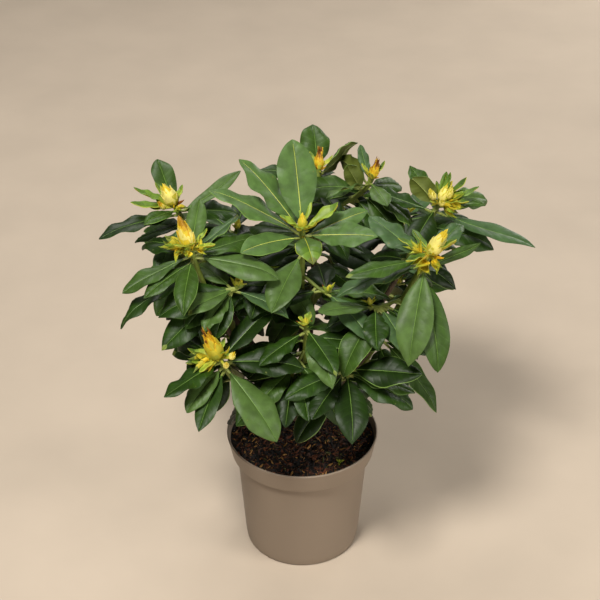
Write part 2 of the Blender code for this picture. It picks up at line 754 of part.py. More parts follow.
def make_mass(name, shoots, paths, leaves, group, bark, green):
    """One mass of foliage: its stem and side twigs, their leaves and their buds, fused into one solid."""
    others = bpy.data.collections.new(name + "_parts")
    bpy.context.scene.collection.children.link(others)
    first = stretch(paths[0], BOUGH_SHARE, 1, STEM_STEPS)
    first[0] += (first[1] - first[0]).normalized() * CLEARANCE
    stem = limb(name, first, BOUGH_TIP_RADIUS, TWIG_TIP_RADIUS, group, bark)
    stem.data.materials.append(green)
    for path in paths[1:]:
        limb("twig", stretch(path, 0, 1, STEM_STEPS), SIDE_TWIG_RADIUS, TWIG_TIP_RADIUS, others, bark)
    for leaf in leaves:
        shares = LEAF_ROWS if leaf.length > YOUNG_LENGTH else YOUNG_ROWS
        places, faces = leaf_faces(leaf_rows(leaf, shares))
        mesh_object("leaf", places, [], faces, others, green)
    for shoot, path in zip(shoots, paths):
        make_bud(*along(path, 1), shoot.size, others, green)
    fuse(stem, others)


def main():
    for leftover in list(bpy.data.objects):
        bpy.data.objects.remove(leftover)
    group, guides = bpy.data.collections.new("potted_rhododendron"), bpy.data.collections.new("cutters")
    bpy.context.scene.collection.children.link(group)
    bpy.context.scene.collection.children.link(guides)
    bark, green = material("bark", BARK, 0.8), material("leaf", LEAF_GREEN, 0.4)

    make_pot(group)
    make_compost(group)
    cutter = seat_cutter(make_trunk(group, bark), guides)
    paths = {name: shoot_paths(height, shoots) for name, (height, shoots) in MASSES.items()}
    leaves = grow_leaves(paths)
    for name, (_, shoots) in MASSES.items():
        make_bough(name, paths[name][0], cutter, group, bark)
        make_mass(name, shoots, paths[name], leaves[name], group, bark, green)


main()
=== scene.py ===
"""Looks of the potted rhododendron: a crown of fine leaves and breaking buds, its bark, compost and pot.

The crown grows by the same rule and from the same sizes as in the part's source, in metres.
"""

import math
import random
from collections import namedtuple

import bpy
from mathutils import Matrix, Vector, noise
from mathutils.bvhtree import BVHTree


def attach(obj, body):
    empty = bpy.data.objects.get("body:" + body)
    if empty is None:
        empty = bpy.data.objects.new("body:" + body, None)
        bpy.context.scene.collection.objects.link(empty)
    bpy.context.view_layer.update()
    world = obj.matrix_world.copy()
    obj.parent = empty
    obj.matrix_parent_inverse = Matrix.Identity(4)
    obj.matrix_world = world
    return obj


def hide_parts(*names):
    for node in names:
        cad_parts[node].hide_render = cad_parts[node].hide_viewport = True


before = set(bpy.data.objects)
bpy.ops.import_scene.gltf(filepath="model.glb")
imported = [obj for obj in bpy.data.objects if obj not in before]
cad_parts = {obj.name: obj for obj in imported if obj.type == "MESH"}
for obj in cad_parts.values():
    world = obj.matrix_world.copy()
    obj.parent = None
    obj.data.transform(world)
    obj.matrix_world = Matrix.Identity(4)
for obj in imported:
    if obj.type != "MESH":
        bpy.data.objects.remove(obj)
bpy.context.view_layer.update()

UP = Vector((0, 0, 1))

# Pot
POT_HEIGHT = 0.192
RIM_RADIUS = 0.110
BASE_RADIUS = 0.084
BAND_HEIGHT = 0.032
BAND_FOOT = POT_HEIGHT - BAND_HEIGHT
BAND_FOOT_RADIUS = 0.1035
BODY_TOP_RADIUS = 0.0955
POT_WALL = 0.0024
BASE_EDGE = 0.003
POT_FLOOR = 0.0042  # how high its inner floor lies
POT_RECESS = 0.0014  # how far the middle of its underside is set in
POT_ROUNDING = 0.0006
MOST_CUT = 0.45  # of an edge of the profile, the most that the rounding of one corner takes
POT_STEPS = 160

# Compost
COMPOST_BELOW_RIM = 0.011
COMPOST_CROWN = 0.003
COMPOST_EDGE = POT_HEIGHT - COMPOST_BELOW_RIM
COMPOST_TOP = COMPOST_EDGE + COMPOST_CROWN

# Trunk and boughs
TRUNK_FOOT = Vector((0.004, 0.002, COMPOST_TOP + 0.0003))
TRUNK_TOP = Vector((-0.002, 0.006, 0.270))
TRUNK_RADIUS = 0.0090
TRUNK_TOP_RADIUS = 0.0058
FLARE_RADIUS = 0.0150
FLARE_HEIGHT = 0.010
BOUGH_RADIUS = 0.0046
BOUGH_TIP_RADIUS = 0.0032
SIDE_TWIG_RADIUS = 0.0026
TWIG_TIP_RADIUS = 0.0022
LIMB_SIDES = 6  # of the shape that guards a limb
BOUGH_OUT = 0.55  # of a bough's reach, how far it first heads outwards
BOUGH_CLIMB = 0.28  # of its rise, how far it has climbed there
BOUGH_UPTURN = 0.36  # of its rise, how long its last upturn is
SIDE_HEAD = 0.35  # the same two for a side twig, of its length
SIDE_UPTURN = 0.40
BOUGH_SHARE = 0.60  # of the way from the trunk to the bud, where the bough ends and its mass begins
SIDE_TWIG_AT = 0.72  # of the same way, where a mass's side twigs leave its stem
SIDE_TWIG_BARE = 0.25  # share of a side twig, from its root, with no leaves
FILL_ROOM = 0.86  # share of a twig's leafy end that filling leaves use
BACK_STEP = 0.01  # in which the way back from a bud is measured, as a share of the path

# Buds, in shares of their length
BUD_GIRTH = 0.42

# Leaves
PETIOLE = 0.13  # share of a leaf's length
PETIOLE_HALF_WIDTH = 0.0016
LEAF_THICKNESS = 0.0022
LEAF_FOLD = math.tan(math.radians(14))
STRAIGHT = 0.01  # a leaf that bends by less than this, in radians, is straight
WIDEST_AT = 1.12  # a power: over 1 puts a blade's widest place past its middle
BLADE_SQUARENESS = 2.2
BLADE_POINT = 0.85
YOUNG_WIDTH = 0.29  # of a young leaf's length
YOUNG_DROOP = -15

# The rule that places leaves
SEED = 7
GOLDEN_TURN = 137.5
FILL_LENGTH = (0.085, 0.118)
FILL_WIDTH = (0.33, 0.41)  # of its length
FILL_DROOP = (12, 32)
FILL_ROLL = (-10, 10)
FILL_RISE = (-16, 4)
LIGHT_LEAN = 24  # how far a filling leaf that points sideways rolls its face to the light in front
FILL_SINK = 42  # how much lower the last filling leaf of a twig points, in degrees
WHOLE_ROWS = (0.0, PETIOLE, 0.30, 0.50, 0.70, 0.88)
BLADE_ROWS = (0.24, 0.40, 0.56, 0.72, 0.88)
LEAF_GUARD = 0.0016  # how near a leaf may come to another or to a limb
POT_GUARD = 0.006
GUARD_STEPS = 15  # of the shape that guards a limb
LEAF_REACH = 0.62  # two leaves further apart than this share of both lengths can't meet
NUDGES = [
    (0, 0), (0, 5), (0, -5), (7, 0), (-7, 0), (7, 5), (-7, -5), (0, 10), (0, -10),
    (14, 0), (-14, 0), (14, 8), (-14, -8), (0, -18), (20, -10), (-20, -10),
]

# Finer looks of leaves
# A share is of the way along a leaf, or of the way across half of it.
VEINS = 9  # side veins on each side of a blade
VEIN_WIDTH = 0.0005
VEIN_SWEEP = 0.12  # how far, as a share of the leaf's length, a vein runs forward to the margin
VEIN_BEND = 0.6  # a power: the smaller, the further that sweep holds to both ends of the blade
SPREAD = (0.24, 0.48, 0.72, 0.97, 1.0)  # where the points across half a blade lie
PETIOLE_ROWS = (0.0, 0.045, 0.09)
PETIOLE_FLARE = 0.25  # how much wider a petiole is at its root
FULLNESS = 1.07  # how many times as wide as its solid a fine leaf is
TIP_TAPER = 0.8  # how much of a petiole's width a leaf has lost at its tip
BLADE_THICKNESS = 0.0008
RIB_HALF_WIDTH = 0.0006
RIB_TAPER = 0.75  # how much of that it has lost at the tip
RIB_DEPTH = 0.0016
RIB_THINNING = 0.85  # how much of that it has lost at the tip
RIB_PROFILE = (1.0, 0.75, 0.1)  # its depth at the points from the middle outwards
GROOVE = 0.2  # of the rib's depth, how deep the groove over it is
SLIM = 2.2  # a leaf has no rib of its own where half its width is under this many of the rib's
TWIST_FROM = 0.4  # where a twisted leaf lies as its solid does
CURL_FROM = 0.72  # where a tip starts to curl
SWERVE_FROM = 0.35  # where a leaf that bends sideways is back on its line
FLATTENING = 0.45  # how much of its fold a blade loses at the margin
WAVE_ONSET = 5  # waves are full from one part in this many along the blade
QUILT_ONSET = 6  # and the swelling between veins, from one part in this many from each end
# The ranges from which each leaf's own habit is drawn
HABITS = {
    "wave": (0.05, 0.24), "waves": (1.6, 3.4), "left": (0, math.tau), "right": (0, math.tau),
    "recurve": (0.02, 0.24), "quilt": (0.0006, 0.0012), "curl": (-0.20, 1.20), "twist": (-22, 22),
    "fold": (0.12, 0.30), "point": (0.72, 1.12), "widest": (0.95, 1.25), "sickle": (-0.07, 0.07),
    "roll": (0.002, 0.012),
}
YOUNG_HABITS = {**HABITS, "quilt": (0.00018, 0.00036), "curl": (-1.4, 0.2), "fold": (0.70, 1.30)}
Habit = namedtuple("Habit", HABITS)
OPEN_HABIT = {"fold": 0.08, "recurve": 0.05, "curl": 0.2, "twist": 4, "sickle": 0.02}  # of the brightest
YOUNG_SIZE = {"centre_top": (1.0, 1.25), "front": (0.6, 1.1)}  # in lengths and widths of the solid
OTHER_YOUNG_SIZE = (1.0, 0.85)
INNER_FILL = 9  # how many small leaves at most fill the inside of each shoot
INNER_FROM = 6  # how many of their places, from the bud down, stay empty
INNER_LENGTH = 0.78  # of a filling leaf's length

# Shades of leaves
# Painted shade and painted light: low, inner and filling leaves are dealt darker greens where shade falls,
# and high leaves out at the edge of the crown paler greens where light falls.
PAINTED_SHADE_HEIGHT = 0.34  # below it leaves are dealt darker greens as painted shade, and above the next often paler ones as painted light
PAINTED_LIGHT_HEIGHT = 0.54
PAINTED_LIGHT_REACH = 0.15  # as they are this far out from the pot's axis
OLDER_PAINTED_LIGHT = 0.4  # of that chance of painted light, what filling leaves have
LEAF_SHADES = ("dusk", "deep", "mid", "fresh", "blue")
PAINTED_SHADE_SHARES = (4, 6, 4, 0.5, 0.5)  # how often each of these is dealt out to low leaves, the darker ones as painted shade
PAINTED_LIGHT_SHARES = (1, 1, 4, 3.5, 5.5)  # to high ones at the outside, the paler ones as painted light
INNER_PAINTED_SHADE_SHARES = (5, 4, 1, 0, 0)  # to inner ones, the darker ones as painted shade
VEIN_SHADES = {"dusk": "deep", "deep": "mid", "mid": "fresh", "fresh": "bright", "blue": "fresh"}
TIP_FROM = 20  # a leaf has this many equal lengths in its own shade, and then two in its tip's
OLIVE_TIPS = 0.12  # share of the leaves whose tip turns olive
BRIGHT_LENGTH = 0.097  # the named leaves of the middle rosette that are longer are the brightest
ROLLED_DROOP = 60  # a leaf that droops more shows a pale margin rolled over
LONG_YOUNG = 0.041  # longer young leaves are greener
YOUNG_SHADES = ("butter", "sun", "lime", "leafy", "young", "sprig", "spring")
BRIGHT_YOUNG = ("leafy", "young", "young", "sprig")
GREENER_YOUNG = (("young", "sprig", "spring"), ("leafy", "sprig", "spring"), ("sprig", "spring", "fresh"))

# Fine buds
BIG_BUD = 0.020  # a bud as long as this is ripe
BUD_SINK = 0.08  # of a bud's length, how far its foot goes down its stem
RIPE_SWELL = 1.22  # how many times as long as its solid a fine ripe bud is
SMALL_SWELL = 1.06  # and a small one
EGG_LOW = 0.57  # a power: under 1 puts a bud's widest place below its middle
EGG_POINT = 1.05  # a power: the higher, the more its ends are drawn out
CORE_ROWS = 10
CORE_SIDES = 10
CORE_FOOT = 0.3  # of the distance between its rows, how high the first lies
CORE_GIRTH = 0.94  # of the bud's
CORE_TOP = 1.01
# A manner has its girth as a share of the bud's length, how far its scales spread in half girths,
# the shades of its scales from foot to tip, the shades of its bracts, and how many bracts it has.
Manner = namedtuple("Manner", "girth flare scales bracts count")
MANNERS = {
    "tipped": Manner(0.38, 0.14, "lime butter cream cream butter gold orange", "butter sun lime", 12),
    "open": Manner(0.40, 0.25, "lime sun sun sun butter gold", "butter sun lime", 4),
    "cup": Manner(0.56, 0.45, "lime sun cream cream cream butter", "butter sun rust", 8),
    "pale": Manner(0.40, 0.20, "lime sun cream cream cream butter", "butter gold sun", 10),
    "spiky": Manner(0.42, 0.30, "sun cream cream sun", "sun lime leafy", 12),
    "spring": Manner(0.46, 0.30, "leafy sun sun sun butter", "leafy sun", 5),
    "dry": Manner(0.40, 0.35, "lime butter gold butter gold orange rust", "lime gold", 3),
    "closed": Manner(0.55, 0.15, "leafy lime sun", "lime young", 4),
}
BUD_MANNERS = {
    "upper_left": "cup", "left": "tipped", "right": "pale", "upper_right": "spiky", "centre_top": "spring",
    "back_top": "dry",
}
# Smaller buds beside a mass's leading one: their manner, and where each is from its foot and how long.
SIDE_BUDS = {
    "lower_left": ("cup", [((0.017, -0.012, 0.004), 0.015), ((0.010, -0.018, -0.005), 0.013)]),
    "upper_right": ("spiky", [
        ((-0.010, -0.008, 0.006), 0.024), ((0.009, -0.006, 0.008), 0.022), ((0.0, -0.013, 0.0), 0.018),
    ]),
    "upper_left": ("tipped", [((-0.012, -0.010, -0.002), 0.019)]),
}
SIDE_BUD_LEAN = 0.6  # outwards, to one upwards
SIDE_BUD_DEPTH = 0.002  # how far its stalk goes up into it

# Scales of buds
BUD_SCALES = 13
SCALE_LENGTH = 0.50  # of the bud's
SCALE_ROWS = 8
SCALE_TIP = 0.6  # of the distance between its rows, how far a scale's last row lies short of its tip
SCALE_SPREAD = (-1.0, -0.55, 0.0, 0.55, 1.0)  # where the points across a scale or a strip lie
SCALE_THICKNESS = 0.0006
SCALE_TUCK = 0.97  # a scale lies as far out as the bud's outline at this share of its height
SCALE_GAP = 0.03  # how far a scale stands off that outline, in half girths
SCALE_CLASP = 0.012  # how much nearer its two edges lie than its middle, as a share of the bud's length
SCALE_TURN = (-12, 12)  # how far off its golden turn a scale may be
SCALE_WIDTH = (0.85, 1.15)  # half its width, as a turn round the bud in radians
SCALE_NARROWING = 0.2  # how much less the topmost one has
SCALE_ONSET = (0.55, 1.6)  # its share of that at its foot, and how fast it widens
SCALE_END = (1.8, 0.04, 0.85)  # a power: how late it narrows, the least left, a power: how bluntly
SCALE_FLARE = (0.3, 1.0)  # of its manner's
SCALE_CURL = (0.0, 0.02)  # of the bud's length
CURL_DROP = 0.4  # of how far a scale curls out, how far its tip drops
SCALE_SHIFT = (-0.9, 0.9)  # how many shades a scale may be ahead of its height
RIM_PAINTED_SHADE_SHIFT = 1.3  # and how far its rims are ahead of it, a painted shade where the scales overlap

# Strips, bracts and leaflets
STRIP_ROWS = 9  # of a strip, bract or leaflet
STRIP_FOOT = 0.10  # how far up its outline it is cut off
STRIP_LOW = 0.85  # a power: under 1 puts its widest place below its middle
STRIP_FULLNESS = 0.8  # a power: the smaller, the fuller it is towards its ends
STRIP_HALF_WIDTH = 0.0006  # the least that it narrows to before its tip
CUPPING = 1.1  # how deeply it is channelled, as a share of half its width
DRAWN_IN = 0.3  # how much narrower it is for being channelled
STRIPS = 9  # narrow tips that stand out of the top of an open or dry bud
STRIP_ROOT = 0.62  # where they start, as a share of its length
STRIP_GIRTH = 0.20  # their width, of their own length
STRIP_OUT = (0.02, 0.08)  # how far from the axis they start, of the bud's length
STRIP_LEAN = (0.0, 0.16)  # outwards, to one along the axis
STRIP_LENGTH = (0.36, 0.50)  # of the bud's
BRACT_TURN = (-20, 20)  # how far off its golden turn a bract may be
BRACT_RISE = (0, 65)
BRACT_LENGTH = (0.25, 0.55)  # of a ripe bud's
SMALL_BRACT = (0.010, 0.018)  # the length of a small bud's
BRACT_OUT = 0.08  # of the bud's length, how far from the axis it starts
BRACT_DROP = (0, 0.006)  # and how far below the bud's foot
BRACT_WIDTH = (0.24, 0.42)  # of its length
BRACT_BEND = (15, 65)
BRACT_WAYS = (-1, -1, -1, 1)  # most bend up, and some down
BRACT_ROLL = (-40, 40)
# Clusters of leaflets beside the ripe buds: where each is from the bud's foot, the turn and the rise in
# which it opens, how many leaflets it has, their length, and their width as a share of it.
FANS = {
    "left": [
        ((-0.012, -0.006, 0.002), 192, 22, 11, 0.027, 0.4), ((0.012, -0.006, 0), 345, 36, 8, 0.021, 0.46),
        ((-0.002, -0.012, 0), 262, 22, 8, 0.013, 0.7), ((-0.006, -0.009, 0.001), 210, 10, 6, 0.016, 0.5),
    ],
    "lower_left": [
        ((-0.011, -0.008, 0.001), 184, 8, 6, 0.029, 0.4), ((-0.006, -0.012, -0.006), 216, -18, 3, 0.03, 0.4),
    ],
    "right": [
        ((-0.014, -0.004, 0.002), 160, 36, 8, 0.026, 0.38),
        ((0.003, -0.012, -0.004), 285, -14, 5, 0.023, 0.65),
        ((-0.009, -0.010, -0.005), 218, -6, 4, 0.027, 0.62),
    ],
    "upper_right": [
        ((0.012, -0.006, 0.002), 352, 28, 8, 0.032, 0.38),
        ((0.004, -0.008, -0.004), 325, -5, 6, 0.028, 0.42),
        ((-0.006, -0.010, 0.002), 230, 35, 4, 0.018, 0.45),
    ],
    "upper_left": [
        ((-0.012, -0.004, 0), 172, 50, 4, 0.03, 0.42), ((0.006, -0.01, -0.002), 265, 8, 4, 0.014, 0.55),
    ],
}
FAN_TURN = 26  # how widely its leaflets spread about that turn, in degrees
FAN_RISE = 22  # and about that rise
LEAFLET_LENGTH = (0.55, 1.1)  # of the fan's
LEAFLET_WIDTH = (0.75, 1.25)
LEAFLET_DROOP = (-80, 40)
LEAFLET_ROLL = (-60, 60)
FAN_SHADES = (("butter", "sun", "lime", "leafy"), ("butter", "sun", "olive"))
STALK_SINK = 0.004  # how far below the leading bud's foot the stalk of a fan or a side bud starts
STALK_SIDES = 8
FAN_STALK = (0.0020, 0.0016)  # its radii at its two ends, under a fan and then under a side bud
SIDE_BUD_STALK = (0.0016, 0.0018)

# Stems
STEM_SIDES = 12
STEM_RING = 0.0025  # how far apart its rings are
ROUGH_STEPS = 12  # in which a path is measured
RIPE_TIP_RADIUS = 0.0040  # of a twig that carries a ripe bud
TRUNK_RINGS = 44
TRUNK_SIDES = 24
BARK_RELIEF = 0.10  # as a share of the radius
TRUNK_RELIEF = BARK_RELIEF * 1.4
TWIG_RELIEF = BARK_RELIEF / 2
RIDGES_ROUND = 2.2  # how close the ridges are, round a limb and along it
RIDGES_ALONG = 130
SCAR_SPACING = 0.011
SCAR_HEIGHT = 0.10  # as a share of the relief
SCAR_WIDTH = 0.10  # as a share of the spacing
COLLAR = 0.5  # how much thicker a bough is where it leaves the trunk
COLLAR_RINGS = 3  # and in how many rings that fades
TWIG_OVERLAP = 0.01  # how far a twig goes down into its bough, as a share of the path

# Compost cover
CRUMB_RINGS = 34
CRUMB_STEPS = 120
CROWN_FALL = 1.25  # how fast its low rise round the stem falls, to the rim's radius
CLOD_HEIGHT = 0.0016
CLODS = 90  # how close they are, and then how rough, how much finer each layer is, and how many
CLOD_LAYERS = (0.8, 2.2, 4)
LUMP_HEIGHT = 0.0020
LUMPS = 28
LUMP_LEVEL = 4  # of the pattern that the lumps are cut from
COVER_BELOW_EDGE = 0.0012
COMPOST_GAP = 0.0004  # between it and the pot's wall
SKIRT = 0.012  # how far below the compost's edge the cover goes down at the wall
CHIPS = 3600
CHIP_SHADES = {"peat": 18, "humus": 24, "chestnut": 32, "rusty": 16, "tan": 7, "moss": 5, "grit": 1}
CHIP_REACH = 0.985  # of the compost's radius, how far out they lie
CHIP_LENGTH = (0.003, 0.010)
CHIP_VARIETY = (0.6, 1.3)  # of that length
CHIP_WIDTH = (0.18, 0.5)  # of its length
CHIP_THICKNESS = 0.5  # of its width
CHIP_TILT = 0.45  # how widely its tilt spreads about level, in radians
CHIP_SPIN = (-1, 1)  # how far it is rolled, in radians
CHIP_ABOVE = 0.0006  # the compost
CHIP_LIFT = 0.15  # how much higher a tilted one lies, of its length
CHIP_ENDS = (-0.06, 0.06)  # how ragged its ends are, of its length
CHIP_SIDES = (0.75, 1.25)  # and its sides
CHIP_PROFILE = ((-0.5, 0.45), (-0.2, 1.0), (0.2, 0.9), (0.5, 0.3))  # its girth at shares of its length
CHIP_SECTION = ((-1, -0.4), (0, -0.6), (1, -0.3), (0.8, 0.6), (-0.7, 0.5))
WIDEST_CHIP = 0.0030
GRIT_LENGTH = (0.0010, 0.0022)
FIBRES = 170
FIBRE_REACH = 0.88
FIBRE_POINTS = 7
FIBRE_ABOVE = 0.0012
FIBRE_ARCH = 0.0016  # how high it arches
FIBRE_STEP = 0.5  # how far through the arch a point brings it, in radians
FIBRE_TURN = (-0.004, 0.030)  # how far round a point brings it, and how far out
FIBRE_STRAY = (-0.0015, 0.0015)
FIBRE_RADIUS = 0.0003
FIBRE_SIDES = 5
SPROUT = (0.053, -0.065)  # where a seedling stands in the compost
SPROUT_WIDTH = 0.5  # of a leaf's length
SPROUT_DROOP = 30
SPROUT_LEAVES = ((20, 30, 0.009), (150, 45, 0.008), (265, 25, 0.010), (90, 70, 0.007))

# Camera, light and floor
CAMERA_LENS = 90
CAMERA_SENSOR = 36
CAMERA_PITCH = 33.07
CAMERA_PLACE = (-0.0033, -1.734, 1.546)
FLOOR = {"code": "bbac9a", "roughness": 0.85, "spread": 0.04, "grain": 6.0, "relief": 0.05, "fine": 120.0}
FLOOR_CORNERS = [(-9, -5, 0), (9, -5, 0), (9, 14, 0), (-9, 14, 0)]
SKY = (1.0, 0.94, 0.85)
SKY_STRENGTH = 0.05
LIGHT_AIM = Vector((0, 0, 0.3))
WARM, CLEAR = (1.0, 0.97, 0.92), (1.0, 0.98, 0.95)
LIGHTS = [
    ("key", (-0.7, -1.4, 3.0), 0.8, 114, WARM),
    ("fill", (2.3, -1.0, 1.2), 1.2, 30, WARM),
    ("low", (0.4, -2.3, 0.8), 1.0, 13, WARM),
    ("back", (-0.6, 2.0, 2.6), 1.4, 40, CLEAR),
    ("rear", (1.4, 2.4, 0.9), 1.2, 16, CLEAR),
]

# Finishes, each by its colour's code, its roughness and its relief
DRIFT_DETAIL = 4.0
RELIEF_DETAIL = 3.0
DRIFT_STOPS = (0.3, 0.7)  # of the pattern, where a colour is at its darkest and its lightest
LEAFY = {"roughness": 0.46, "gloss": 0.24, "grain": 80.0, "relief": 0.5, "fine": 330.0, "spread": 0.24}
WAXY = {"roughness": 0.48, "gloss": 0.35, "grain": 120.0, "relief": 0.15, "fine": 700.0, "spread": 0.14}
CRUMBLY = {"roughness": 0.80, "grain": 260.0, "relief": 0.7, "fine": 900.0, "spread": 0.3}


def alike(finish, **codes):
    """Finishes that differ in nothing but their colour."""
    return {name: {"code": code, **finish} for name, code in codes.items()}


FINISHES = {
    **alike(LEAFY, dusk="182b06", deep="223a0b", mid="324b16", fresh="465e2b"),
    **alike(LEAFY, blue="3f5833", bright="496430"),
    "under": {"code": "56611f", "roughness": 0.62, "grain": 40.0, "relief": 0.2},
    "rib": {"code": "68883a", "roughness": 0.5},
    "yellow_rib": {"code": "b9bd55", "roughness": 0.5},
    "stalk": {"code": "8a9448", "roughness": 0.5, "grain": 90.0},
    "olive": {"code": "667426", "roughness": 0.6, "grain": 120.0, "relief": 0.4, "spread": 0.25},
    **alike(WAXY, spring="4c681f", sprig="5f7b28", young="7f962e", leafy="94a432", lime="a8aa38"),
    **alike(WAXY, sun="bcb032", cream="ddd070", butter="d0b62a", gold="c69c1c"),
    **alike(WAXY, orange="a87c18", rust="7a4710"),
    "bark": {
        "code": "453524", "roughness": 0.85, "grain": 160.0, "relief": 0.8, "spread": 0.3, "depth": 0.001,
    },
    "plastic": {
        "code": "837464", "roughness": 0.50, "grain": 14.0, "relief": 0.10, "fine": 1400.0, "spread": 0.02,
    },
    **alike(CRUMBLY, peat="080402", humus="100804", chestnut="3c1f0d", rusty="5e2f12", tan="966c36"),
    **alike(CRUMBLY, moss="4a4a1c", grit="c9c0ae"),
}

# The masses on each side of the crown, whose leaves are joined
SIDES = {
    "left": ["upper_left", "left", "lower_left"],
    "middle": ["centre_top", "front", "back_top"],
    "right": ["upper_right", "right", "lower_right", "low_right"],
    "back": ["back_left", "back_right", "back_low"],
}

Shoot = namedtuple("Shoot", "bud lean size leaves young fill open")
Leaf = namedtuple("Leaf", "root turn rise length width droop roll")

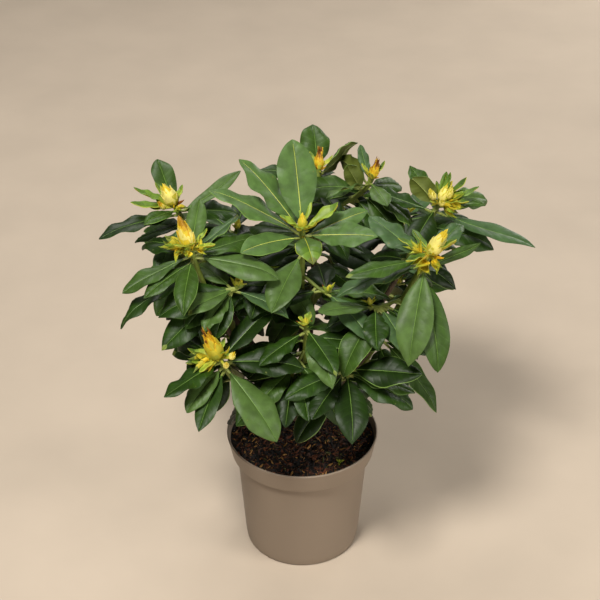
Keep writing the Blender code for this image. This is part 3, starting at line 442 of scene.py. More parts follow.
# Each mass has the height where its bough leaves the trunk, then its leading shoot and any side shoots.
# A shoot has its bud's place, its lean outwards, its bud's length, its named leaves, its young leaves, how
# many leaves fill its twig, and the sector that they leave open. A named leaf is (turn, rise, length,
# width, droop, roll, set back from the bud) and a young one (turn, rise, length), in degrees and
# millimetres. A turn goes from +X towards +Y.
MASSES = {
    "upper_left": (0.246, [
        Shoot((-0.175, 0.050, 0.540), 0.5, 0.030, [
            (112, 18, 104, 30, 10, 0, 8), (211, 0, 120, 34, 15, 0, 14), (38, 16, 112, 24, -25, 0, 10),
            (243, -30, 92, 30, 15, 0, 28), (226, 2, 62, 24, 10, 0, 8), (176, -24, 80, 28, 15, 0, 30),
        ], [(178, 24, 60), (192, 6, 60), (150, 36, 40), (60, 40, 30), (130, 55, 26)], 7, (150, 350)),
    ]),
    "left": (0.231, [
        Shoot((-0.148, -0.050, 0.532), 0.25, 0.046, [
            (85, 20, 90, 26, 5, 0, 6), (52, 8, 96, 26, 0, -20, 8), (30, 8, 100, 38, 10, 0, 12),
            (352, -8, 118, 40, 15, 14, 14), (263, -18, 96, 29, 25, 0, 16), (205, -18, 105, 30, 15, 0, 12),
            (222, -10, 88, 27, 20, 0, 20), (206, -24, 130, 30, 15, 0, 34),
        ], [
            (236, 30, 36), (178, 25, 36), (25, 35, 34), (345, 15, 38), (120, 45, 30), (290, 40, 26),
        ], 4, (140, 30)),
        Shoot((-0.085, -0.060, 0.481), 0.2, 0.018, [
            (222, 0, 82, 33, 15, 0, 8), (240, -22, 76, 26, 15, 0, 16), (35, 0, 90, 32, 15, 0, 10),
            (340, -12, 84, 30, 15, 0, 14),
        ], [(100, 50, 20), (280, 45, 18)], 4, (250, 350)),
    ]),
    "lower_left": (0.208, [
        Shoot((-0.112, -0.110, 0.400), 0.45, 0.046, [
            (142, 8, 80, 30, 10, 20, 8), (112, 20, 62, 22, 0, 0, 6), (227, -3, 102, 32, 20, 0, 12),
            (231, -20, 84, 30, 15, 0, 22), (246, -24, 100, 29, 20, 0, 28), (316, -38, 128, 50, 25, 0, 18),
            (357, 0, 112, 38, 15, 26, 14), (40, 30, 96, 36, 10, 0, 10), (34, 4, 90, 36, 10, 0, 22),
        ], [
            (179, 12, 42), (193, -8, 44), (216, -15, 38), (300, 45, 26), (60, 50, 26), (340, 20, 24),
        ], 4, (150, 50)),
        Shoot((-0.100, 0.020, 0.352), 0.5, 0.012, [
            (190, 5, 84, 32, 20, 0, 8), (222, -12, 84, 30, 20, 0, 14), (150, 0, 90, 30, 15, 0, 10),
            (110, -5, 90, 30, 15, 0, 12),
        ], [], 4, (240, 360)),
    ]),
    "centre_top": (0.262, [
        Shoot((0.000, 0.000, 0.531), 0.0, 0.022, [
            (168, 24, 140, 45, 20, 0, 10), (148, 42, 132, 42, 15, 0, 8), (100, 58, 128, 50, 10, 0, 6),
            (345, 8, 104, 38, 12, 20, 10), (20, 14, 98, 28, 10, 20, 12), (214, 2, 100, 36, 20, -18, 14),
            (285, -18, 56, 34, 80, 0, 10),
        ], [(13, 28, 60), (80, 45, 50), (188, 35, 38), (250, 30, 30), (320, 35, 34)], 7, (250, 95)),
        Shoot((0.035, -0.030, 0.452), 0.3, 0.012, [
            (312, -15, 96, 36, 20, 0, 8), (5, -8, 96, 34, 15, 0, 12), (200, -5, 90, 34, 20, 0, 14),
        ], [], 4, (225, 350)),
        Shoot((-0.045, 0.010, 0.462), 0.3, 0.012, [
            (225, -18, 84, 34, 20, 0, 8), (275, -12, 90, 34, 20, 0, 12), (170, -5, 92, 32, 20, 0, 14),
        ], [], 3, (60, 150)),
    ]),
    "front": (0.240, [
        Shoot((0.004, -0.080, 0.431), 0.3, 0.014, [
            (296, -12, 92, 34, 20, 0, 8), (132, -5, 80, 30, 15, 0, 10), (215, -15, 80, 30, 15, 0, 16),
        ], [(60, 40, 30), (250, 30, 26), (170, 50, 24)], 4, (210, 290)),
        Shoot((-0.018, -0.075, 0.350), 0.4, 0.010, [
            (262, -32, 85, 30, 25, 0, 8), (286, -28, 85, 30, 25, 0, 12), (228, -20, 85, 32, 15, 0, 16),
            (310, -25, 80, 32, 20, 0, 20), (300, -55, 84, 26, 10, 0, 24),
        ], [], 4, (240, 300)),
    ]),
    "back_top": (0.240, [
        Shoot((0.023, 0.150, 0.541), 0.3, 0.026, [
            (94, 22, 102, 40, 12, 0, 8), (52, 14, 88, 36, -10, -74, 8), (172, 5, 88, 30, 15, 0, 12),
            (293, -5, 80, 22, 10, 0, 24),
        ], [(130, 45, 28), (20, 40, 28)], 5, (200, 280)),
        Shoot((0.098, 0.130, 0.538), 0.3, 0.026, [
            (104, 26, 66, 15, 0, 0, 6), (135, 12, 86, 30, 10, 96, 12), (222, 10, 84, 26, 10, 30, 10),
            (288, 0, 72, 26, 20, 0, 8), (335, -30, 88, 28, 15, 0, 16), (200, 60, 56, 24, 8, 80, 26),
        ], [(160, 50, 26), (30, 40, 30), (260, 40, 26)], 4, (200, 300)),
    ]),
    "upper_right": (0.252, [
        Shoot((0.191, 0.080, 0.528), 0.6, 0.030, [
            (355, 8, 66, 16, 5, 0, 6), (150, 8, 104, 32, 10, 0, 16), (161, 48, 56, 32, 10, 100, 6),
            (121, 27, 76, 28, 5, 0, 8), (246, -6, 96, 36, 20, 0, 12), (342, -10, 146, 36, -15, 0, 14),
            (75, -8, 96, 32, 15, 0, 20),
        ], [
            (70, 56, 42), (0, 46, 52), (352, 25, 58), (340, 18, 44), (30, 58, 44), (100, 60, 30),
        ], 5, (190, 345)),
    ]),
    "right": (0.226, [
        Shoot((0.169, -0.050, 0.523), 0.5, 0.040, [
            (254, -50, 146, 45, 30, 0, 12), (286, -46, 142, 38, 30, 0, 26), (193, -16, 128, 33, 15, 0, 16),
            (203, 2, 118, 31, 10, 0, 10), (135, 12, 110, 40, 10, 0, 10), (54, 10, 90, 28, 5, 0, 8),
            (25, 10, 95, 15, -6, 70, 26), (80, 0, 95, 30, 15, 0, 20),
        ], [
            (165, 20, 48), (121, 18, 46), (324, 42, 52), (217, 5, 46), (250, 30, 30), (20, 45, 34),
        ], 4, (190, 40)),
        Shoot((0.091, -0.050, 0.443), 0.2, 0.012, [
            (211, 10, 92, 32, 10, 0, 8), (268, -15, 74, 33, 20, 0, 10), (298, -20, 84, 32, 15, 0, 16),
            (233, -22, 112, 38, 20, 0, 18), (150, 0, 90, 30, 15, 0, 14),
        ], [], 4, (190, 310)),
    ]),
    "lower_right": (0.211, [
        Shoot((0.062, -0.090, 0.368), 0.6, 0.012, [
            (276, -24, 112, 43, 25, 0, 10), (340, 8, 106, 42, 15, 26, 8), (238, -18, 88, 34, 20, 0, 14),
            (345, -8, 100, 34, 20, 0, 18),
        ], [], 3, (250, 340)),
    ]),
    "low_right": (0.200, [
        Shoot((0.116, 0.004, 0.358), 0.6, 0.012, [
            (325, -38, 130, 36, 15, 0, 10), (350, -5, 84, 34, 15, 0, 14), (30, 0, 90, 32, 15, 0, 10),
            (290, -25, 100, 36, 20, 0, 18),
        ], [], 4, (230, 360)),
    ]),
    "back_left": (0.214, [
        Shoot((-0.150, 0.160, 0.390), 0.5, 0.022, [
            (150, 5, 106, 34, 15, 0, 8), (95, 0, 105, 34, 15, 0, 10), (200, -5, 104, 34, 20, 0, 12),
        ], [(120, 40, 30), (30, 40, 28)], 6, (300, 30)),
        Shoot((-0.095, 0.140, 0.450), 0.3, 0.016, [
            (80, 5, 100, 34, 15, 0, 8), (125, 0, 104, 34, 15, 0, 10), (165, -5, 96, 34, 20, 0, 12),
        ], [(100, 45, 28)], 4, (230, 30)),
    ]),
    "back_right": (0.215, [
        Shoot((0.150, 0.200, 0.440), 0.5, 0.024, [
            (60, 0, 108, 34, 15, 0, 8), (10, 0, 104, 34, 15, 0, 10), (110, -5, 108, 34, 20, 0, 12),
        ], [(80, 40, 30), (330, 40, 28)], 8, (190, 260)),
        Shoot((0.140, 0.110, 0.375), 0.5, 0.012, [
            (10, -10, 88, 34, 20, 0, 8), (50, -10, 100, 34, 20, 0, 12), (90, -5, 96, 32, 20, 0, 14),
        ], [], 4, (200, 10)),
    ]),
    "back_low": (0.200, [
        Shoot((0.020, 0.200, 0.400), 0.6, 0.020, [
            (90, -5, 108, 34, 15, 0, 8), (50, -10, 104, 34, 20, 0, 12), (130, -10, 108, 34, 20, 0, 14),
        ], [(70, 40, 26)], 8, (230, 310)),
        Shoot((-0.060, 0.150, 0.330), 0.6, 0.012, [
            (120, -15, 100, 34, 20, 0, 8), (160, -12, 100, 34, 20, 0, 12), (80, -20, 96, 32, 20, 0, 14),
        ], [], 3, (230, 330)),
    ]),
}


def direction(turn, rise):
    """The unit vector at a turn from +X and a rise above level, in degrees."""
    turn, rise = math.radians(turn), math.radians(rise)
    return Vector((math.cos(rise) * math.cos(turn), math.cos(rise) * math.sin(turn), math.sin(rise)))


def along(path, share):
    """The place and the heading at a share of the way along a cubic path of four points."""
    a, b, c, d = path
    t, u = share, 1 - share
    place = a * u**3 + b * 3 * u * u * t + c * 3 * u * t * t + d * t**3
    heading = (b - a) * u * u + (c - b) * 2 * u * t + (d - c) * t * t
    return place, heading.normalized()


def stretch(path, first, last, steps):
    """The points of a path from one share of the way to another."""
    return [along(path, first + (last - first) * i / steps)[0] for i in range(steps + 1)]


def set_back(path, distance):
    """The share of the way along a path that lies a distance back from its end."""
    share, place, gone = 1.0, path[3], 0.0
    while gone < distance and share > BACK_STEP * 2:
        share -= BACK_STEP
        here = along(path, share)[0]
        gone += (here - place).length
        place = here
    return share


def trunk_at(height):
    """The middle of the trunk at a height."""
    return TRUNK_FOOT.lerp(TRUNK_TOP, (height - TRUNK_FOOT.z) / (TRUNK_TOP.z - TRUNK_FOOT.z))


def level_way(start, end):
    """The level distance between two places, and the level unit vector that way."""
    out = Vector((end.x - start.x, end.y - start.y, 0))
    return out.length, out.normalized() if out.length > BOUGH_RADIUS * 2 else Vector((0, 0, 0))


def bough_path(start, bud, lean):
    """A limb that leaves the trunk outwards, then turns up to its bud."""
    (reach, way), rise = level_way(start, bud), bud.z - start.z
    last = (way * lean + UP).normalized()
    out = start + way * reach * BOUGH_OUT + UP * rise * BOUGH_CLIMB
    return start, out, bud - last * rise * BOUGH_UPTURN, bud


def side_path(lead, bud, lean):
    """A side twig that leaves its leading stem along it, then turns to its own bud."""
    start, heading = along(lead, SIDE_TWIG_AT)
    reach, way = (bud - start).length, level_way(start, bud)[1]
    last = (way * lean + UP).normalized()
    return start, start + heading * reach * SIDE_HEAD, bud - last * reach * SIDE_UPTURN, bud


def shoot_paths(height, shoots):
    """The path of each shoot of a mass, the leading one first."""
    lead = bough_path(trunk_at(height), Vector(shoots[0].bud), shoots[0].lean)
    return [lead] + [side_path(lead, Vector(shoot.bud), shoot.lean) for shoot in shoots[1:]]


def midrib(leaf, share):
    """The place, heading and level side at a share of the way along a leaf, bent as an arc."""
    bend = math.radians(leaf.droop)
    middle = direction(leaf.turn, leaf.rise)
    side = Vector((-middle.y, middle.x, 0)).normalized()
    if abs(bend) < STRAIGHT:
        return leaf.root + middle * leaf.length * share, middle, side
    up, radius = middle.cross(side), leaf.length / bend
    begin, now = bend / 2, bend * (0.5 - share)
    ahead, lift = math.sin(begin) - math.sin(now), math.cos(now) - math.cos(begin)
    place = leaf.root + (middle * ahead + up * lift) * radius
    return place, middle * math.cos(now) + up * math.sin(now), side


def section(leaf, share, twist=0.0):
    """The place on a leaf's midrib, and the directions across the leaf and up from it there."""
    place, heading, level = midrib(leaf, share)
    across = Matrix.Rotation(math.radians(leaf.roll + twist), 3, heading) @ level
    return place, across, heading.cross(across)


def half_width(leaf, share):
    """Half the width of a leaf: a slim petiole, then an oblong blade with a short point."""
    if share <= PETIOLE:
        return PETIOLE_HALF_WIDTH
    blade = (share - PETIOLE) / (1 - PETIOLE)
    swell = (1 - abs(2 * blade**WIDEST_AT - 1) ** BLADE_SQUARENESS) ** BLADE_POINT
    return max(leaf.width / 2 * swell, PETIOLE_HALF_WIDTH)


def leaf_rows(leaf, shares, extra=0.0):
    """Rings of four points across a leaf, folded up from its midrib, and its tip as the last row."""
    rows = []
    for share in shares:
        place, across, up = section(leaf, share)
        half = half_width(leaf, share) + extra
        fold, thick = up * half * LEAF_FOLD, up * (LEAF_THICKNESS / 2 + extra)
        right, left = across * half + fold, fold - across * half
        rows.append([place + right, place + thick, place + left, place - thick])
    tip, heading, _ = midrib(leaf, 1)
    return rows + [[tip + heading * extra]]


def leaf_faces(rows):
    """The points and faces of the closed solid through rings of four points and a tip."""
    rings = len(rows) - 1
    faces = [(3, 2, 1, 0)]
    for ring in range(rings):
        for k in range(4):
            a, b = 4 * ring + k, 4 * ring + (k + 1) % 4
            faces.append((b, 4 * rings, a) if ring == rings - 1 else (b, b + 4, a + 4, a))
    return [place for row in rows for place in row], faces


def leaf_tree(leaf, shares, extra=0.0):
    """A leaf's surface, for telling whether it meets another."""
    places, faces = leaf_faces(leaf_rows(leaf, shares, extra))
    return BVHTree.FromPolygons([tuple(place) for place in places], faces)


def bands(rings, count):
    """The faces between rings of equally many points."""
    for ring in range(rings - 1):
        for k in range(count):
            a, b = ring * count + k, ring * count + (k + 1) % count
            yield a, b, b + count, a + count


def spokes(count):
    """Equally spaced level directions."""
    return [direction(360 * k / count, 0) for k in range(count)]


def stations(line):
    """Each point of a line, with the rotation that takes what is upright to the line's heading there."""
    for i, place in enumerate(line):
        heading = line[min(i + 1, len(line) - 1)] - line[max(i - 1, 0)]
        yield place, UP.rotation_difference(heading).to_matrix()


def limb_tree(places, radius):
    """A round limb's surface, for the same."""
    points = []
    for place, turn in stations(places):
        points += [tuple(place + turn @ out * radius) for out in spokes(LIMB_SIDES)]
    return BVHTree.FromPolygons(points, list(bands(len(places), LIMB_SIDES)))


def in_pot(place):
    near = RIM_RADIUS + POT_GUARD
    return place.z < POT_HEIGHT + POT_GUARD and math.hypot(place.x, place.y) < near


class Crown:
    """Keeps what stands in the crown, so that each new leaf stays clear of it."""

    def __init__(self):
        self.limbs = []
        self.leaves = []

    def add_limb(self, mass, places, radius):
        self.limbs.append((mass, limb_tree(places, radius)))

    def is_clear(self, leaf, mass, young):
        """Whether a leaf meets nothing. Near their own stem, the petioles of one mass may meet."""
        if any(in_pot(place) for row in leaf_rows(leaf, WHOLE_ROWS, LEAF_GUARD)[1:] for place in row):
            return False
        whole, blade = leaf_tree(leaf, WHOLE_ROWS, LEAF_GUARD), leaf_tree(leaf, BLADE_ROWS, LEAF_GUARD)
        for theirs, shape in self.limbs:
            if theirs != mass and whole.overlap(shape):
                return False
            if theirs == mass and not young and blade.overlap(shape):
                return False
        middle = midrib(leaf, 0.5)[0]
        for theirs, centre, length, other_whole, other_blade in self.leaves:
            if (centre - middle).length > (length + leaf.length) * LEAF_REACH:
                continue
            if blade.overlap(other_blade) if theirs == mass else whole.overlap(other_whole):
                return False
        return True

    def settle(self, leaf, mass, young=False):
        """The leaf, turned or tipped a little where something is in its way, or None where it can't fit."""
        for turn, rise in NUDGES:
            trial = leaf._replace(turn=leaf.turn + turn, rise=leaf.rise + rise)
            if self.is_clear(trial, mass, young):
                trees = leaf_tree(trial, WHOLE_ROWS), leaf_tree(trial, BLADE_ROWS)
                self.leaves.append((mass, midrib(trial, 0.5)[0], trial.length, *trees))
                return trial
        return None

    def fill(self, leaves, mass, room):
        """As many of the leaves as there is room for."""
        settled = []
        for leaf in leaves:
            placed = self.settle(leaf, mass) if len(settled) < room else None
            if placed:
                settled.append(placed)
        return settled


def named_leaves(path, shoot):
    for turn, rise, length, width, droop, roll, back in shoot.leaves:
        root = along(path, set_back(path, back / 1000))[0]
        yield Leaf(root, turn, rise, length / 1000, width / 1000, droop, roll)


def young_leaves(path, shoot):
    for turn, rise, length in shoot.young:
        yield Leaf(path[3], turn, rise, length / 1000, length / 1000 * YOUNG_WIDTH, YOUNG_DROOP, 0)


def filling_leaves(path, first_leafy, shoot, draw):
    """Older leaves down a twig, by the golden turn, each lower and more drooping than the last."""
    turn = draw.uniform(0, 360)
    tries = 3 * shoot.fill
    first, last = shoot.open
    for i in range(1, tries + 1):
        turn = (turn + GOLDEN_TURN) % 360
        depth = i / tries
        rise = draw.uniform(*FILL_RISE) - FILL_SINK * depth
        length = draw.uniform(*FILL_LENGTH)
        width = length * draw.uniform(*FILL_WIDTH)
        roll, droop = draw.uniform(*FILL_ROLL), draw.uniform(*FILL_DROOP)
        roll += LIGHT_LEAN * math.cos(math.radians(turn))
        if (turn - first) % 360 >= (last - first) % 360:
            root = along(path, 1 - (1 - first_leafy) * FILL_ROOM * depth)[0]
            yield Leaf(root, turn, rise, length, width, droop, roll)


def scaled(leaf, long, wide):
    return leaf._replace(length=leaf.length * long, width=leaf.width * wide)


def grow_leaves(paths):
    """The leaves of each mass: the named ones are placed first, then the young ones, then the filling."""
    draw, crown = random.Random(SEED), Crown()
    every = [(name, shoot, path) for name in MASSES for shoot, path in zip(MASSES[name][1], paths[name])]
    crown.add_limb("trunk", [TRUNK_FOOT, TRUNK_TOP], TRUNK_RADIUS)
    for name, shoot, path in every:
        bud, axis = along(path, 1)
        crown.add_limb(name, stretch(path, 0, 1, GUARD_STEPS), BOUGH_RADIUS)
        crown.add_limb(name, [bud, bud + axis * shoot.size], shoot.size * BUD_GIRTH / 2)
    grown = {name: [] for name in MASSES}
    for name, shoot, path in every:
        grown[name] += [("named", crown.settle(leaf, name)) for leaf in named_leaves(path, shoot)]
    for name, shoot, path in every:
        young = young_leaves(path, shoot)
        grown[name] += [("young", crown.settle(leaf, name, young=True)) for leaf in young]
    for name, shoot, path in every:
        first_leafy = BOUGH_SHARE if path is paths[name][0] else SIDE_TWIG_BARE
        older = crown.fill(filling_leaves(path, first_leafy, shoot, draw), name, shoot.fill)
        grown[name] += [("older", leaf) for leaf in older]
    for name, shoot, path in every:
        inner = list(filling_leaves(path, SIDE_TWIG_BARE, shoot._replace(fill=INNER_FILL), draw))
        small = [scaled(leaf, INNER_LENGTH, INNER_LENGTH) for leaf in inner[INNER_FROM:]]
        grown[name] += [("inner", leaf) for leaf in crown.fill(small, name, INNER_FILL)]
    return {name: [(kind, leaf) for kind, leaf in leaves if leaf] for name, leaves in grown.items()}


def linear(code):
    """The linear colour of a six-digit colour code."""
    shares = [int(code[i:i + 2], 16) / 255 for i in (0, 2, 4)]
    return [share / 12.92 if share <= 0.04045 else ((share + 0.055) / 1.055) ** 2.4 for share in shares]


def finish(name, code, roughness, spread=0.12, grain=30.0, relief=0.15, fine=500.0, gloss=0.5, depth=0.0004):
    """A material whose colour drifts a little from place to place, with a fine relief."""
    made = bpy.data.materials.new(name)
    made.use_nodes = True
    nodes, links = made.node_tree.nodes, made.node_tree.links
    shader = nodes["Principled BSDF"]
    shader.inputs["Roughness"].default_value = roughness
    shader.inputs["Specular IOR Level"].default_value = gloss
    where, patterns = nodes.new("ShaderNodeTexCoord"), []
    for scale, detail in ((grain, DRIFT_DETAIL), (fine, RELIEF_DETAIL)):
        pattern = nodes.new("ShaderNodeTexNoise")
        pattern.inputs["Scale"].default_value = scale
        pattern.inputs["Detail"].default_value = detail
        links.new(where.outputs["Object"], pattern.inputs["Vector"])
        patterns.append(pattern)
    ramp = nodes.new("ShaderNodeValToRGB")
    colour = linear(code)
    for stop, place, strength in zip(ramp.color_ramp.elements, DRIFT_STOPS, (1 - spread, 1 + spread)):
        stop.position = place
        stop.color = (*[min(part * strength, 1) for part in colour], 1)
    bump = nodes.new("ShaderNodeBump")
    bump.inputs["Strength"].default_value = relief
    bump.inputs["Distance"].default_value = depth
    links.new(patterns[0].outputs["Fac"], ramp.inputs["Fac"])
    links.new(ramp.outputs["Color"], shader.inputs["Base Color"])
    links.new(patterns[1].outputs["Fac"], bump.inputs["Height"])
    links.new(bump.outputs["Normal"], shader.inputs["Normal"])
    return made


def add_object(name, data):
    """A new object in the scene that shows some data, such as a mesh or a lamp."""
    made = bpy.data.objects.new(name, data)
    bpy.context.scene.collection.objects.link(made)
    return made


class Heap:
    """The points and faces of many small pieces that become one mesh, each face with its own finish."""

    def __init__(self, finishes):
        self.finishes = finishes
        self.places, self.faces, self.picks = [], [], []

    def add(self, places, faces, picks):
        """Adds a piece, with the name of one finish for all its faces or a list of one for each."""
        first = len(self.places)
        self.places += places
        self.faces += [tuple(first + i for i in face) for face in faces]
        self.picks += picks if isinstance(picks, list) else [picks] * len(faces)

    def make(self, name, slot, nodes, crease=50):
        """Makes the piece that takes the place of some nodes, smooth but for edges past an angle."""
        mesh = bpy.data.meshes.new(name)
        mesh.from_pydata(self.places, [], self.faces)
        numbers = {pick: i for i, pick in enumerate(self.finishes)}
        for made in self.finishes.values():
            mesh.materials.append(made)
        mesh.polygons.foreach_set("material_index", [numbers[pick] for pick in self.picks])
        mesh.shade_smooth()
        mesh.set_sharp_from_angle(angle=math.radians(crease))
        piece = add_object(name, mesh)
        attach(piece, "root")
        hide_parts(*nodes)


def skin(rings, tip=None):
    """The points and faces of the closed solid through rings of equally many points, and a tip or a cap."""
    count = len(rings[0])
    faces, last = [tuple(reversed(range(count))), *bands(len(rings), count)], (len(rings) - 1) * count
    places = [place for ring in rings for place in ring]
    if tip is None:
        faces.append(tuple(range(last, last + count)))
    else:
        faces += [(last + k, last + (k + 1) % count, len(places)) for k in range(count)]
        places.append(tip)
    return places, faces


def outline(leaf, habit, share):
    """Half the width of a fine leaf, which is blunter or more pointed than the next."""
    if share <= PETIOLE:
        return PETIOLE_HALF_WIDTH * (1 + PETIOLE_FLARE * (1 - share / PETIOLE))
    blade = (share - PETIOLE) / (1 - PETIOLE)
    swell = (1 - abs(2 * blade**habit.widest - 1) ** BLADE_SQUARENESS) ** habit.point
    return max(leaf.width / 2 * FULLNESS * swell, PETIOLE_HALF_WIDTH * (1 - TIP_TAPER * blade))


def habit_of(young, draw):
    """How one leaf differs from the next: its wavy margin, the curl of its tip and its quilted blade."""
    return Habit(*[draw.uniform(*span) for span in (YOUNG_HABITS if young else HABITS).values()])


def blade_point(leaf, habit, share, side, spread, in_vein):
    """A point of a leaf's upper face, its upward direction there, and how far across it lies."""
    along_blade = max(share - PETIOLE, 0) / (1 - PETIOLE)
    share = min(share + VEIN_SWEEP * spread * (4 * along_blade * (1 - along_blade)) ** VEIN_BEND, 1)
    place, across, up = section(leaf, share, habit.twist * (share - TWIST_FROM))
    half = outline(leaf, habit, share)
    width = half * spread
    margin = spread * spread
    phase = habit.left if side > 0 else habit.right
    lift = width * habit.fold * (1 - FLATTENING * margin) - half * habit.recurve * margin * margin
    ripple = math.sin(math.tau * habit.waves * share + phase)
    lift += half * habit.wave * ripple * margin * min(along_blade * WAVE_ONSET, 1)
    if not in_vein:
        fade = min(along_blade * QUILT_ONSET, (1 - along_blade) * QUILT_ONSET, 1)
        lift += habit.quilt * math.sin(math.pi * spread) * fade
    roll, curl = habit.roll * math.sin(math.tau * share + habit.left), max(share - CURL_FROM, 0) ** 2
    lift += leaf.length * (roll * share - habit.curl * curl)
    swerve = leaf.length * habit.sickle * share * (share - SWERVE_FROM)
    return place + across * (width * side + swerve) + up * lift, up


def fine_leaf(leaf, habit):
    """The rings, the tip and the strips of a fine leaf, each ring over its upper face and back under."""
    rows = [(share, "stalk") for share in PETIOLE_ROWS]
    step, thin = (1 - PETIOLE) / VEINS, VEIN_WIDTH / 2 / leaf.length
    for i in range(VEINS):
        start = PETIOLE + step * i
        rows += [(start - thin, "vein"), (start + thin, "blade"), (start + step / 2, "blade")]
    rings = []
    for number, (share, _) in enumerate(rows):
        in_vein = (number - len(PETIOLE_ROWS)) % 3 != 2
        rib = RIB_HALF_WIDTH * (1 - RIB_TAPER * share)
        half = outline(leaf, habit, share)
        spreads = (0.0, rib / half) + SPREAD
        if half < rib * SLIM:
            spreads = tuple(i / (len(SPREAD) + 1) for i in range(len(SPREAD) + 2))
        upper = [blade_point(leaf, habit, share, 1, spread, in_vein) for spread in reversed(spreads)]
        upper += [blade_point(leaf, habit, share, -1, spread, in_vein) for spread in spreads[1:]]
        middle = len(spreads) - 1
        bulge = RIB_DEPTH * (1 - RIB_THINNING * share)
        upper[middle] = (upper[middle][0] - upper[middle][1] * RIB_DEPTH * GROOVE, upper[middle][1])
        under = []
        for k, (place, up) in enumerate(upper):
            off = abs(k - middle)
            deep = RIB_PROFILE[off] if off < len(RIB_PROFILE) else 0
            if share < PETIOLE:
                deep = math.sqrt(1 - (off / (middle + 0.5)) ** 2)
            under.append(place - up * (BLADE_THICKNESS + bulge * deep))
        rings.append([place for place, _ in upper] + under[::-1])
    tip = blade_point(leaf, habit, 1, 1, 0, True)[0] - UP * BLADE_THICKNESS / 2
    return rings, tip, [strip for _, strip in rows[:-1]]


def leaf_picks(strips, look):
    """The finish of each face of a fine leaf but its tip, in the order in which its skin is made."""
    across = 2 * (len(SPREAD) + 1)
    picks = [look["stalk"]]
    for row, strip in enumerate(strips):
        if strip != "stalk":
            strip = look[strip][row * len(look[strip]) // len(strips)]
        for k in range(2 * across + 2):
            over, below = k < across, across < k < 2 * across + 1
            off = abs((k if over else k - across - 1) - across / 2 + 0.5)
            if strip == "stalk":
                picks.append(look["stalk"])
            elif over:
                picks.append(look["rib"] if off < 1 else look["edge"] if off > across / 2 - 1 else strip)
            elif below:
                picks.append(look["stalk" if off < 1 else "under"])
            else:
                picks.append(look["edge"])
    return picks


def egg(share):
    """The girth of a bud at a share of the way up, of its widest: egg-shaped with a drawn-out point."""
    return math.sin(math.pi * min(max(share, 0), 1) ** EGG_LOW) ** EGG_POINT


def outwards(axis, turn):
    """The direction square to an axis, at a turn round it."""
    return UP.rotation_difference(axis).to_matrix() @ direction(turn, 0)


def bud_scale(place, axis, size, girth, turn, foot, top, width, flare, curl):
    """One scale that clasps a bud, as rings over its outer face and back along its inner one."""
    late, least, blunt = SCALE_END
    narrow, widening = SCALE_ONSET
    rings = []
    for row in range(SCALE_ROWS):
        share = row / (SCALE_ROWS - 1 + SCALE_TIP)
        height = foot + (top - foot) * share
        reach = width * max(1 - share**late, least) ** blunt * min(narrow + share * widening, 1)
        radius = size * girth / 2 * (egg(height * SCALE_TUCK) + SCALE_GAP + flare * share * share)
        outer, inner = [], []
        for spread in SCALE_SPREAD:
            out = outwards(axis, turn + math.degrees(reach) * spread)
            away = radius + size * curl * share**3 - size * SCALE_CLASP * spread * spread
            centre = place + axis * size * (height - curl * share**3 * CURL_DROP)
            outer.append(centre + out * away)
            inner.append(centre + out * (away - SCALE_THICKNESS))
        rings.append(outer + inner[::-1])
    return skin(rings)


def add_bud(heap, place, axis, size, draw, manner):
    """A bud of clasping scales. Where it is open or dry, narrow tips stand out of its top."""
    girth, shades, core = manner.girth, manner.scales.split(), []
    for row in range(CORE_ROWS):
        share = (row + CORE_FOOT) / CORE_ROWS
        radius, middle = size * girth / 2 * egg(share) * CORE_GIRTH, place + axis * size * share
        core.append([middle + outwards(axis, 360 * k / CORE_SIDES) * radius for k in range(CORE_SIDES)])
    heap.add(*skin(core, place + axis * size * CORE_TOP), shades[-1])
    for i in range(BUD_SCALES):
        age = i / (BUD_SCALES - 1)
        foot = (1 - SCALE_LENGTH) * age
        top, turn = foot + SCALE_LENGTH, GOLDEN_TURN * i + draw.uniform(*SCALE_TURN)
        width = draw.uniform(*SCALE_WIDTH) * (1 - SCALE_NARROWING * age)
        flare, curl = manner.flare * draw.uniform(*SCALE_FLARE), draw.uniform(*SCALE_CURL)
        places, faces = bud_scale(place, axis, size, girth, turn, foot, top, width, flare, curl)
        shift, picks = draw.uniform(*SCALE_SHIFT), [shades[0]]
        for row in range(SCALE_ROWS - 1):
            height = (foot + (top - foot) * row / (SCALE_ROWS - 1)) * len(shades) + shift
            # Painted shade: the rims of each scale take a later shade, to stand for the shade where the
            # scales overlap.
            shade, rim = [shades[min(max(int(height + on), 0), len(shades) - 1)] for on in (0, RIM_PAINTED_SHADE_SHIFT)]
            picks += [rim, shade, shade, rim, rim] + [shade] * len(SCALE_SPREAD)
        heap.add(places, faces, picks + [shade])
    if manner in (MANNERS["open"], MANNERS["dry"]):
        for i in range(STRIPS):
            out = outwards(axis, GOLDEN_TURN * i)
            root = place + axis * size * STRIP_ROOT + out * size * draw.uniform(*STRIP_OUT)
            ahead = (axis + out * draw.uniform(*STRIP_LEAN)).normalized()
            length = size * draw.uniform(*STRIP_LENGTH)
            turn, rise = math.degrees(math.atan2(ahead.y, ahead.x)), math.degrees(math.asin(ahead.z))
            strip = Leaf(root, turn, rise, length, length * STRIP_GIRTH, 0, draw.uniform(0, 180))
            add_strip(heap, strip, [draw.choice(("orange", "rust", "gold")), draw.choice(("gold", "rust"))])


